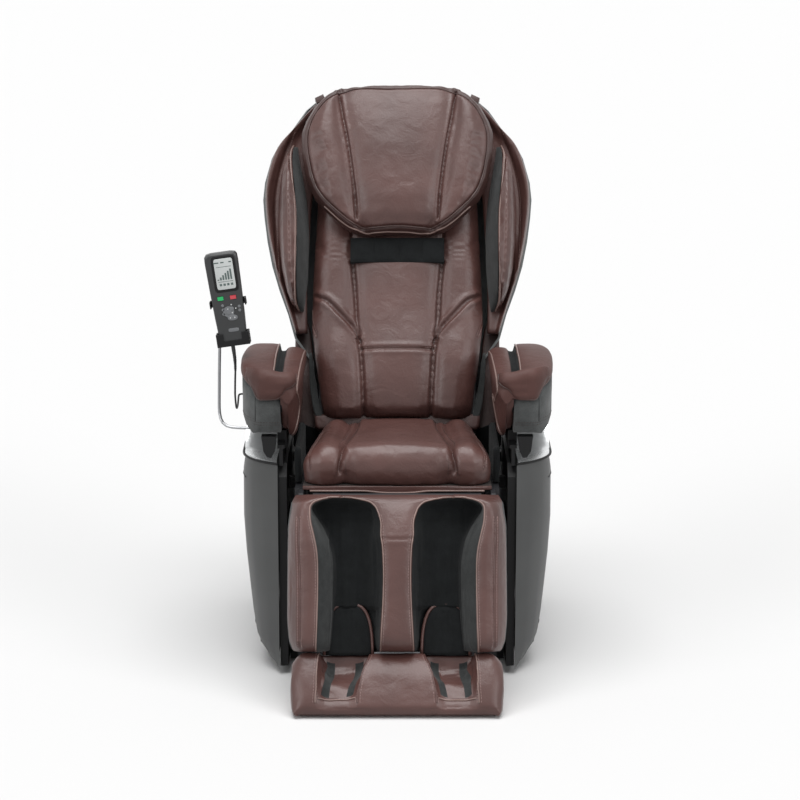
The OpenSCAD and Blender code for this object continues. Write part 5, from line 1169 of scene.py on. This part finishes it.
def calf_point(q, u):
    """A point of the calf cover: to 1 divider, 2 well, 3 side strip, 4 pad and its roll, 5 flank."""
    way, q = math.copysign(1.0, q), abs(q)
    a, b, wide = along(CALF_IN, u), along(CALF_OUT, u), along(CALF_WIDE, u)
    strip = b - along(CALF_STRIP, u)
    high, deep = along(CALF_HIGH, u), along(CALF_DEEP, u)
    ease = max(0.0, min(1.0, (u + 96) / 104))
    mid = high - 30 * ease ** 1.3 - 12 * max(0.0, (-292 - u) / 44) ** 2
    rim = high - 3 - 12 * ease
    low = mid - deep * 0.86 - 17 * max(0.0, min(1.0, (-238 - u) / 7)) ** 1.5
    if q <= 1:
        x, f = a * q, mid - 9 * q ** 5
    elif q <= 2:
        v = q - 1
        x = a + (strip - a) * v
        wall = 1 - (1 - min(1.0, v / (0.5 - 0.28 * max(0.0, min(1.0, (-225 - u) / 60))))) ** 2.4
        f = (mid - 9) + (low - (mid - 9)) * wall
        rise = max(0.0, (v - 0.93) / 0.07)
        f += (rim - 48 * min(1.0, deep / 84) - low) * rise ** 1.4 if deep > 1 else 0.0
    elif q <= 3:
        v = q - 2
        x = strip + (b - strip) * v
        f = rim - 48 * min(1.0, deep / 84) * (1 - v) ** 1.25
    elif q <= 4:
        v = q - 3
        x = b + (wide - b) * v
        f = rim + 5 * math.sin(math.pi * min(1.0, v / 0.62)) - 44 * v ** 4.5
    else:
        v = q - 4
        x = wide + 3.5 * math.sin(math.pi * v)
        f = (rim - 44) + (17 - rim + 44) * v
    return LEG @ Vector((way * x * MM, u * MM, f * MM))


class CHAIR_OT_calf(bpy.types.Operator):
    """Makes the calf cover with its two wells, side strips, hems and divider"""
    bl_idname = "chair.calf"
    bl_label = "Calf unit"

    def execute(self, context):
        cols = mirrored([0, 0.3, 0.6, 0.82, 0.93, 0.98, 1, 1.03, 1.08, 1.15, 1.25, 1.35, 1.45, 1.56, 1.68,
                         1.8, 1.9, 1.94, 1.97, 2, 2.08, 2.3, 2.55, 2.8, 2.95, 3, 3.04, 3.12, 3.3, 3.5, 3.62,
                         3.74, 3.86, 3.95, 4, 4.15, 4.4, 4.7, 5])
        rows = [-336, -335, -331, -324, -313, -300, -285, -268, -254, -246, -242, -238, -234, -226, -210,
                -190, -170, -152, -136, -122, -108, -96, -84, -72, -61, -51, -42, -34, -27, -21, -16, -12,
                -9, -6.5, -4.5, -3, -1.8, -0.8, 0.2, 1.3, 3, 5, 7, 8.8, 9.5]

        def zone(q, u):
            if u >= 1.3:
                return 0
            return 1 if 1 < abs(q) < 2 else 2 if 2 < abs(q) < 3 else 0

        pad = surface("calf_pad", cols, rows, calf_point, ["leather", "knit_black", "knit_mid"], zone, 2,
                      (1, 2, 3))
        for poly in pad.data.polygons:
            c = local(np.array(poly.center), LEG) / MM
            if abs(c[0]) > 232 and c[2] < 62:
                poly.material_index = 2
        wells = within(x=(48, 150), y=(-9999, -20), z=(-9999, 70))
        crumple(pad, 15, 3.4, 12, (1.0, 0.16, 0.2), LEG, wells)
        crumple(pad, 42, 3.0, 22, (1.0, 0.3, 0.4), LEG, wells)
        side_line = [(216, -40), (216, -92), (214, -135), (213, -200), (213, -309), (211, -326)]
        fold = [(-34, -88), (-12, -90), (12, -90), (34, -88)]
        tree = tree_of(pad)
        carve(pad, [lay(tree, LEG, p, 3) for p in both(side_line)], 3.0, 4.0, 1.4, 4)
        carve(pad, [lay(tree, LEG, fold, 3)], 3.0, 1.6, 0.6)
        crumple(pad, 60, 1.8, 13, (1.0, 0.6, 1.0), LEG, within(z=(80, 9999)))
        crumple(pad, 20, 0.4, 14, (1, 1, 1), LEG)
        close_down(pad, LEG, 16, 0)
        # Leg raised, the pad's top end passes over the base rails
        at = local(coords(pad), LEG) / MM
        lift = np.where(at[:, 1] > -20, np.maximum(0.0, 19.5 - at[:, 2]), 0.0)
        set_coords(pad, coords(pad) + lift[:, None] * MM * np.array(outward(LEG)))
        soft_done(pad, "legrest", "calf_cover", fill=0.85)
        tree = tree_of(pad)
        # The hem cords are the lighter leather, as painted highlight on the rolled edge
        for way, side in SIDES:
            line = [(way * x, u) for u, x in CALF_OUT[::-1] + CALF_IN if u < 0.2]
            hem = lay(tree, LEG, beside(line, -2.2 * way), 4, 0.0)
            welt("calf_hem_" + side, hem, 1.7, "leather_painted_highlight", "legrest")
        rows = [lay(tree, LEG, beside(p, r), 1.1, 0.15) for p in both(side_line) for r in (-4.2, 4.2)]
        for table, gap in ((CALF_IN, -6.5), (CALF_OUT, 6.5)):
            line = [(along(table, u) + gap, u) for u in range(-322, -24, 12)]
            rows += [lay(tree, LEG, p, 1.1, 0.15) for p in (flip(line), line)]
        stitches("calf_stitch", rows, "legrest", "thread")
        return {"FINISHED"}


# Foot cover from toe to heel: run, half width, well's inner and outer edge, heights of side, hump and sole
FOOT_ROWS = [(-1, 212, 86, 180, 10, 10, 10), (-0.7, 216, 86, 180, 12, 12, 11),
             (-0.35, 219, 86, 179, 18, 19, 14), (0, 222, 86, 179, 30, 31, 22),
             (0.03, 224, 85.5, 178, 41, 40, 31), (0.06, 226, 85, 178, 51, 50, 36),
             (0.09, 227, 84, 177, 60, 58, 38.5), (0.13, 228, 82, 177, 72, 68, 42),
             (0.18, 230, 79.5, 176.5, 85, 80, 50), (0.23, 231, 77, 176, 97, 91, 58),
             (0.29, 231, 73, 175, 109, 101, 63.5), (0.35, 231, 68, 174, 119, 110, 65.5),
             (0.41, 231, 64, 173, 124, 117, 66.5), (0.48, 231, 61, 172, 124, 121, 68),
             (0.55, 231, 59, 171, 120, 121, 72), (0.61, 231, 58, 171, 116, 117, 77),
             (0.635, 231, 58, 171, 113, 114, 92), (0.655, 231, 58, 171, 110, 110, 109),
             (0.75, 231, 58, 171, 106, 106, 105.5), (0.88, 230, 58, 171, 100, 100, 99.5),
             (0.97, 229, 58, 171, 95, 95, 94.5), (1.0, 228, 58, 171, 88, 88, 88)]
FOOT_Q = [0, 0.35, 0.65, 0.85, 0.95, 1, 1.03, 1.08, 1.14, 1.2, 1.24, 1.3, 1.36, 1.42, 1.5, 1.58, 1.64, 1.7,
          1.76, 1.8, 1.86, 1.92, 1.97, 2, 2.06, 2.2, 2.4, 2.6, 2.78, 2.9, 2.97, 3, 3.2, 3.5, 3.8, 4]


def foot_at(k, r):
    """A column of the foot cover's table at a place on its run."""
    return along([(row[0], row[k]) for row in FOOT_ROWS], r)


def foot_point(q, r):
    """A point of the foot cover: 0 to 1 hump, to 2 well, to 3 side pad, to 4 flank."""
    way, q = math.copysign(1.0, q), abs(q)
    wide, a, b, side, hump, sole = (foot_at(k, r) for k in range(1, 7))
    y = FOOT_TOE + FOOT_RUN * max(0.0, r) + 4.5 * max(0.0, -r) ** 2
    if q <= 1:
        x, z = a * q, hump - (hump - sole) * 0.05 * q ** 4 - 1.2 * math.cos(3 * math.pi * q) * (r < 0.3)
    elif q <= 2:
        v = q - 1
        x = a + (b - a) * v
        left = hump - (hump - sole) * 0.05
        near = min(1.0, v / 0.3) if v < 0.5 else min(1.0, (1 - v) / 0.3)
        top = left if v < 0.5 else side
        z = sole + (top - sole) * (1 - near) ** 2.2
    elif q <= 3:
        v = q - 2
        x = b + (wide - b) * v
        z = side + min(3.0, (side - 8) * 0.1) * math.sin(math.pi * v) - min(24, (side - 8) * 0.55) * v ** 4.5
    else:
        v = q - 3
        edge = side - min(24, (side - 8) * 0.55)
        x = wide + 2.5 * math.sin(math.pi * v)
        z = edge + (9 - edge) * v
    return Vector((way * x * MM, y * MM, z * MM))


class CHAIR_OT_foot(bpy.types.Operator):
    """Makes the foot cover with its two wells, hump and lips, and its heel panels"""
    bl_idname = "chair.foot"
    bl_label = "Foot unit"

    def execute(self, context):
        rows = [-1, -0.85, -0.7, -0.5, -0.35, -0.15, 0, 0.03, 0.06, 0.09, 0.13, 0.18, 0.23, 0.29, 0.35,
                0.41, 0.48, 0.55, 0.61, 0.635, 0.655, 0.7, 0.75, 0.82, 0.88, 0.93, 0.97, 1.0]

        def zone(q, r):
            v = abs(q) - 1
            return int(0.15 < r < 0.64 and (0.14 < v < 0.3 or 0.7 < v < 0.86))

        pad = surface("foot_pad", mirrored(FOOT_Q), rows, foot_point, ["leather", "knit_mid", "knit_black"],
                      zone, 2, (1, 2))
        close_down(pad, SEAT, 8, 0)
        edge = both(*([(foot_at(a, t), FOOT_TOE + FOOT_RUN * t, foot_at(b, t))
                       for t in (0.02, 0.06, 0.1, 0.16, 0.23, 0.32, 0.42, 0.52)]
                      for a, b in ((2, 5), (3, 4))))
        front = both([(86, 12), (86, 20), (85.5, 30)], [(178.5, 12), (178.5, 20), (178, 30)])
        tree = tree_of(pad)
        carve(pad, [lay(tree, FRONT, p, 2) for p in front], 2.4, 3.0, 1.0)
        lip = [(-176, -597.5, 42), (-150, -597.5, 40.5), (-130, -597.5, 41), (-105, -597.5, 40.5),
               (-87, -597.5, 42)]
        # Deep soft folds in the soles, pulled in towards the heel
        crumple(pad, 26, 4.0, 23, (0.5, 1.0, 1.0), None, within((96, 164), (-592, -508)))
        crumple(pad, 9, 1.6, 24, (0.25, 1.0, 1.0), None, within((98, 162), (-535, -508)))
        crumple(pad, 48, 2.0, 15, (1, 1, 1), None, within(z=(25, 9999)))
        crumple(pad, 18, 0.4, 16)
        soft_done(pad, "footrest", "foot_cover", fill=0.85)
        tree = tree_of(pad)
        laid = [lay(tree, SEAT, p, 2.2, 0.2, True) for p in edge]
        # The outer border cords take the lighter leather as painted highlight, the inner ones the plain
        # leather
        for k, run in enumerate(laid):
            welt("foot_border_%d" % k, run, 1.5, "leather_painted_highlight" if k % 2 else "leather", "footrest")
        rows = [lay(tree, SEAT, beside(p, s), 1.1, 0.2, True) for p in edge for s in (-5, 5)]
        stitches("foot_stitch", rows, "footrest", "thread")
        # The lip cords are the lighter leather, as painted highlight
        for k, run in enumerate((lip, flip(lip))):
            welt("foot_lip_%d" % k, lay(tree, SEAT, run, 3, 0.3, True), 1.8, "leather_painted_highlight", "footrest")
        panel = skin("foot_heel_panels", "foot_liners", "knit_black", 2, 70, 0.6)
        crumple(panel, 20, 2.4, 25, (1.0, 0.2, 0.3), LEG)
        pleats = [[(x, -335), (x * 0.998, -290), (x, -250)] for x in (101, 114)]
        carve(panel, [lay(tree_of(panel), LEG, q, 3) for q in both(*pleats)], 2.0, 3.0, 1.2)
        soft_done(panel, "footrest", "foot_liners", fill=0.7)
        for way, side in SIDES:
            arch = [(way * (107.5 + 53.5 * math.copysign(abs(math.cos(a)) ** 0.62, math.cos(a))),
                     -345 + 112 * math.sin(a) ** 0.8, 44 - 7 * math.sin(a) ** 4)
                    for a in [math.pi * k / 28 for k in range(29)]]
            path = [LEG @ q for q in in_mm(arch)]
            put("footrest", tube("foot_heel_piping_" + side, path, 0.0036, "leather"))
        return {"FINISHED"}


class CHAIR_OT_shells(bpy.types.Operator):
    """Smooths the moulded shells, panels and trims, and wraps the back's wings"""
    bl_idname = "chair.shells"
    bl_label = "Shells and panels"

    def execute(self, context):
        wings = skin("wing_wrap", "wing_cover", "leather", 2, 60)
        line = [(-251.5, 764), (-276.4, 696), (-293.6, 607), (-292.5, 507), (-281.4, 370), (-261.5, 296)]
        seam("wing_stitch", wings, BACK, both(line), "backrest", 3.4, 3.0, 1.2, (3.2,), mat="thread")
        crumple(wings, 60, 1.8, 18, (1, 0.6, 1), BACK)
        soft_done(wings, "backrest", "wing_cover", fill=0.9)
        for node, body, mat in (("back_shell", "backrest", "shell"), ("side_panel_left", "base", "panel"),
                                ("side_panel_right", "base", "panel"), ("side_trims", "base", "chrome"),
                                ("side_casings", "base", "black"), ("rear_cover", "base", "panel")):
            put(body, rigid(node + "_moulding", node, mat, 0.0, 28))
        # Panel lines and screw caps of the moulded shells, seen from the rear and the sides
        shell = bpy.data.objects["back_shell_moulding"]
        rear = BACK @ Matrix.Rotation(math.pi, 4, "Y")
        rim = inset(outline(shell, rear, (0, 440), 90), (0, 440), 30)
        welt("back_shell_line", lay(tree_of(shell), rear, rim + rim[:1], 5), 1.4, "black", "backrest", True)
        caps = [(x, s) for x in (-150, 150) for s in (110, 330, 560)] + [(-90, 740), (90, 740)]
        spots = [(tree_of(shell), rear, caps, "backrest")]
        for way, side in SIDES:
            panel = bpy.data.objects["side_panel_%s_moulding" % side]
            flank = side_plane(way)
            tree = tree_of(panel)
            for k, z in enumerate((448, 54)):
                line = [(y, z, 250) for y in (-225, -150, 0, 150, 290)]
                welt("panel_line_%s_%d" % (side, k), lay(tree, flank, line, 6), 1.3, "black", "base")
            caps = [(282, 400, 250), (282, 230, 250), (282, 90, 250), (-180, 90, 250)]
            spots.append((tree, flank, caps, "base"))
        behind = Matrix(((-1, 0, 0, 0), (0, 0, 1, 0), (0, 1, 0, 0), (0, 0, 0, 1)))
        cover = tree_of(bpy.data.objects["rear_cover_moulding"])
        spots.append((cover, behind, [(x, z) for x in (-190, 190) for z in (90, 250, 400)], "base"))
        count = 0
        for tree, matrix, places, body in spots:
            for spot in places:
                for p, n in lay(tree, matrix, [spot, spot], 50)[:1]:
                    put(body, tube("screw_cap_%d" % count, [p - n * 0.001, p + n * 0.0008, p + n * 0.0014],
                                   0.0055, "black", 4, taper=lambda t: 0.8 if t == 1 else 1.0))
                    count += 1
        # Black gasket between each side panel and its bright trim
        for way, side in SIDES:
            bend = [(0, 0), (0.35, 0.03), (0.7, 0.08), (0.9, 0.135), (0.975, 0.19), (0.99, 0.28),
                    (1, 0.45), (1, 0.6)]
            run = [(way * (270 + 85 * a), -310 + 640 * b, 498) for a, b in bend]
            put("base", tube("trim_gasket_" + side, polyline(in_mm(run), 0.006), 0.003, "black", 3))
        return {"FINISHED"}


class CHAIR_OT_handset(bpy.types.Operator):
    """Makes the handset's screen, keys and holder"""
    bl_idname = "chair.handset"
    bl_label = "Handset"

    def execute(self, context):
        put("hand_unit", rigid("handset_body", "handset", "handset", 0.0012, 30))
        put("stand", rigid("handset_holder", "remote_holder", "black", 0.0012, 30))
        pieces = [
            ("screen_bezel", oval(4.3, 163.5, 27.5, 42, 32, 9), -1.0, 0.9, "black", 0.8),
            ("screen_glass", oval(4.3, 163.5, 21.5, 35.5, 32, 12), 0.5, 1.5, "screen", 0.3),
            ("key_oval", oval(6.9, 61.5, 11.5, 6.5, 28, 2.4), -0.5, 1.6, "key", 0.7),
            ("name_plate_bare", oval(5, 33, 12, 4.2, 28, 4), -0.5, 0.8, "key", 0.4),
        ]
        for k, (x, z) in enumerate(((-12, 91.5), (-12, 81.5), (-12, 71.5), (25.5, 85.5), (25.5, 76.5))):
            pieces.append(("key_small_%d" % k, oval(x, z, 3.4, 3.4, 20), -0.5, 1.5, "key", 0.7))
        for name, line, low, top, mat, bevel in pieces:
            put("hand_unit", plate("hand_" + name, HAND, line, HAND_FACE + low, HAND_FACE + top, mat, bevel))
        # Bars and figures of the display, and the marks on the keys
        bars = [(-12, 190, 6, 1.4), (2, 190, 4, 1.4), (20, 190, 3, 1.4), (4.3, 180, 17, 0.5),
                (4.3, 146, 17, 0.5)]
        bars += [(-12 + 6 * k, 151 + 2.2 * k, 2.0, 1.2 + 2.2 * k) for k in range(6)]
        bars += [(-8 + 8.5 * k, 139, 2.6, 2.6) for k in range(4)]
        for k, (x, z, w, h) in enumerate(bars):
            line = [(x - w, z - h), (x + w, z - h), (x + w, z + h), (x - w, z + h)]
            put("hand_unit", plate("hand_segment_%d" % k, HAND, line, HAND_FACE + 1.4, HAND_FACE + 1.7,
                                   "segment", 0))
        for k, (x, z, turn) in enumerate(((8, 91.6, 0), (8, 73.0, 180), (-1.2, 82.2, 90), (17.2, 82.2, -90),
                                          (1.6, 61.5, 90), (12.2, 61.5, -90))):
            tip = [(0, 2.0), (-1.8, -1.2), (1.8, -1.2)]
            a = math.radians(turn)
            line = [(x + u * math.cos(a) - v * math.sin(a), z + u * math.sin(a) + v * math.cos(a))
                    for u, v in tip]
            face = HAND_FACE + (1.5 if k < 4 else 1.6)
            put("button_pad" if k < 4 else "hand_unit",
                plate("hand_arrow_%d" % k, HAND, line, face - 0.2, face + 0.25, "mark", 0))
        put("button_pad", plate("key_pad_ring", HAND, oval(8, 82.2, 5.0, 5.0, 28), HAND_FACE + 1.3,
                                HAND_FACE + 2.3, "key", 0.6))
        return {"FINISHED"}


class CHAIR_OT_stage(bpy.types.Operator):
    """Sets out the pale floor, the backdrop and the soft lamps"""
    bl_idname = "chair.stage"
    bl_label = "Stage"

    def execute(self, context):
        scene = context.scene
        scene.view_settings.view_transform = "Standard"
        mat = bpy.data.materials.new("studio_paper_white")
        mat.use_nodes = True
        tree = mat.node_tree
        tree.nodes.clear()
        out = tree.nodes.new("ShaderNodeOutputMaterial")
        ray = add(tree, "ShaderNodeLightPath")
        seen = higher(tree, ray.outputs["Is Camera Ray"], ray.outputs["Is Glossy Ray"])
        # Paper fibres, and white that shows as white to the camera while the chair gets no more light from it
        fibre = noise_of(tree, add(tree, "ShaderNodeTexCoord").outputs["Object"], 2.5)
        greys = [(0.0, (0.42, 0.42, 0.42, 1)), (1.0, (0.46, 0.46, 0.46, 1))]
        tone = add(tree, "ShaderNodeValToRGB", {"stops": greys}, Fac=fibre.outputs["Fac"])
        bright = add(tree, "ShaderNodeMix", {"data_type": "RGBA"}, Factor=seen,
                     A=tone.outputs["Color"], B=(0.7, 0.7, 0.7, 1))
        paper = add(tree, "ShaderNodeBsdfDiffuse", Color=bright.outputs["Result"])
        tree.links.new(paper.outputs[0], out.inputs["Surface"])
        bm = bmesh.new()
        bmesh.ops.create_grid(bm, x_segments=4, y_segments=4, size=60.0)
        floor = from_bm("floor", bm, None)
        floor.data.materials.append(mat)

        world = bpy.data.worlds.new("soft_room")
        world.use_nodes = True
        scene.world = world
        tree = world.node_tree
        back = tree.nodes["Background"]
        back.inputs["Color"].default_value = (1, 1, 1, 1)
        ray = add(tree, "ShaderNodeLightPath")
        seen = higher(tree, higher(tree, ray.outputs["Is Camera Ray"], ray.outputs["Is Glossy Ray"]),
                      ray.outputs["Is Transmission Ray"])
        level = add(tree, "ShaderNodeMapRange", Value=seen, To_Min=0.26, To_Max=1.0)
        tree.links.new(level.outputs["Result"], back.inputs["Strength"])

        strength = props().lamp_strength
        for name, aim, power, angle in (("lamp_sky", (0, -0.19, 0.98), 1.0, 50),
                                        ("lamp_left", (-0.69, -0.58, 0.42), 0.27, 30),
                                        ("lamp_right", (0.69, -0.58, 0.42), 0.27, 30)):
            data = bpy.data.lights.new(name, "SUN")
            data.energy = strength * power
            data.angle = math.radians(angle)
            lamp = bpy.data.objects.new(name, data)
            lamp.rotation_euler = (-Vector(aim)).to_track_quat("-Z", "Y").to_euler()
            scene.collection.objects.link(lamp)
        return {"FINISHED"}


class CHAIR_PT_panel(bpy.types.Panel):
    """Lists the chair's pieces in the sidebar"""
    bl_idname = "CHAIR_PT_panel"
    bl_label = "Massage chair"
    bl_space_type = "VIEW_3D"
    bl_region_type = "UI"
    bl_category = "Chair"

    def draw(self, context):
        for name in ChairSettings.__annotations__:
            self.layout.prop(context.scene.chair_settings, name)
        for op in OPERATORS:
            self.layout.operator(op.bl_idname)


OPERATORS = [CHAIR_OT_camera, CHAIR_OT_cord, CHAIR_OT_finishes, CHAIR_OT_seat, CHAIR_OT_back,
             CHAIR_OT_pillow, CHAIR_OT_shoulders, CHAIR_OT_arms, CHAIR_OT_calf, CHAIR_OT_foot,
             CHAIR_OT_shells, CHAIR_OT_handset, CHAIR_OT_stage]
CLASSES = [ChairSettings, *OPERATORS, CHAIR_PT_panel]


def register():
    for c in CLASSES:
        bpy.utils.register_class(c)
    bpy.types.Scene.chair_settings = bpy.props.PointerProperty(type=ChairSettings)


def unregister():
    del bpy.types.Scene.chair_settings
    for c in reversed(CLASSES):
        bpy.utils.unregister_class(c)


def main():
    register()
    make_materials(props())
    for op in OPERATORS:
        group, name = op.bl_idname.split(".")
        getattr(getattr(bpy.ops, group), name)()


if __name__ == "__main__":
    main()
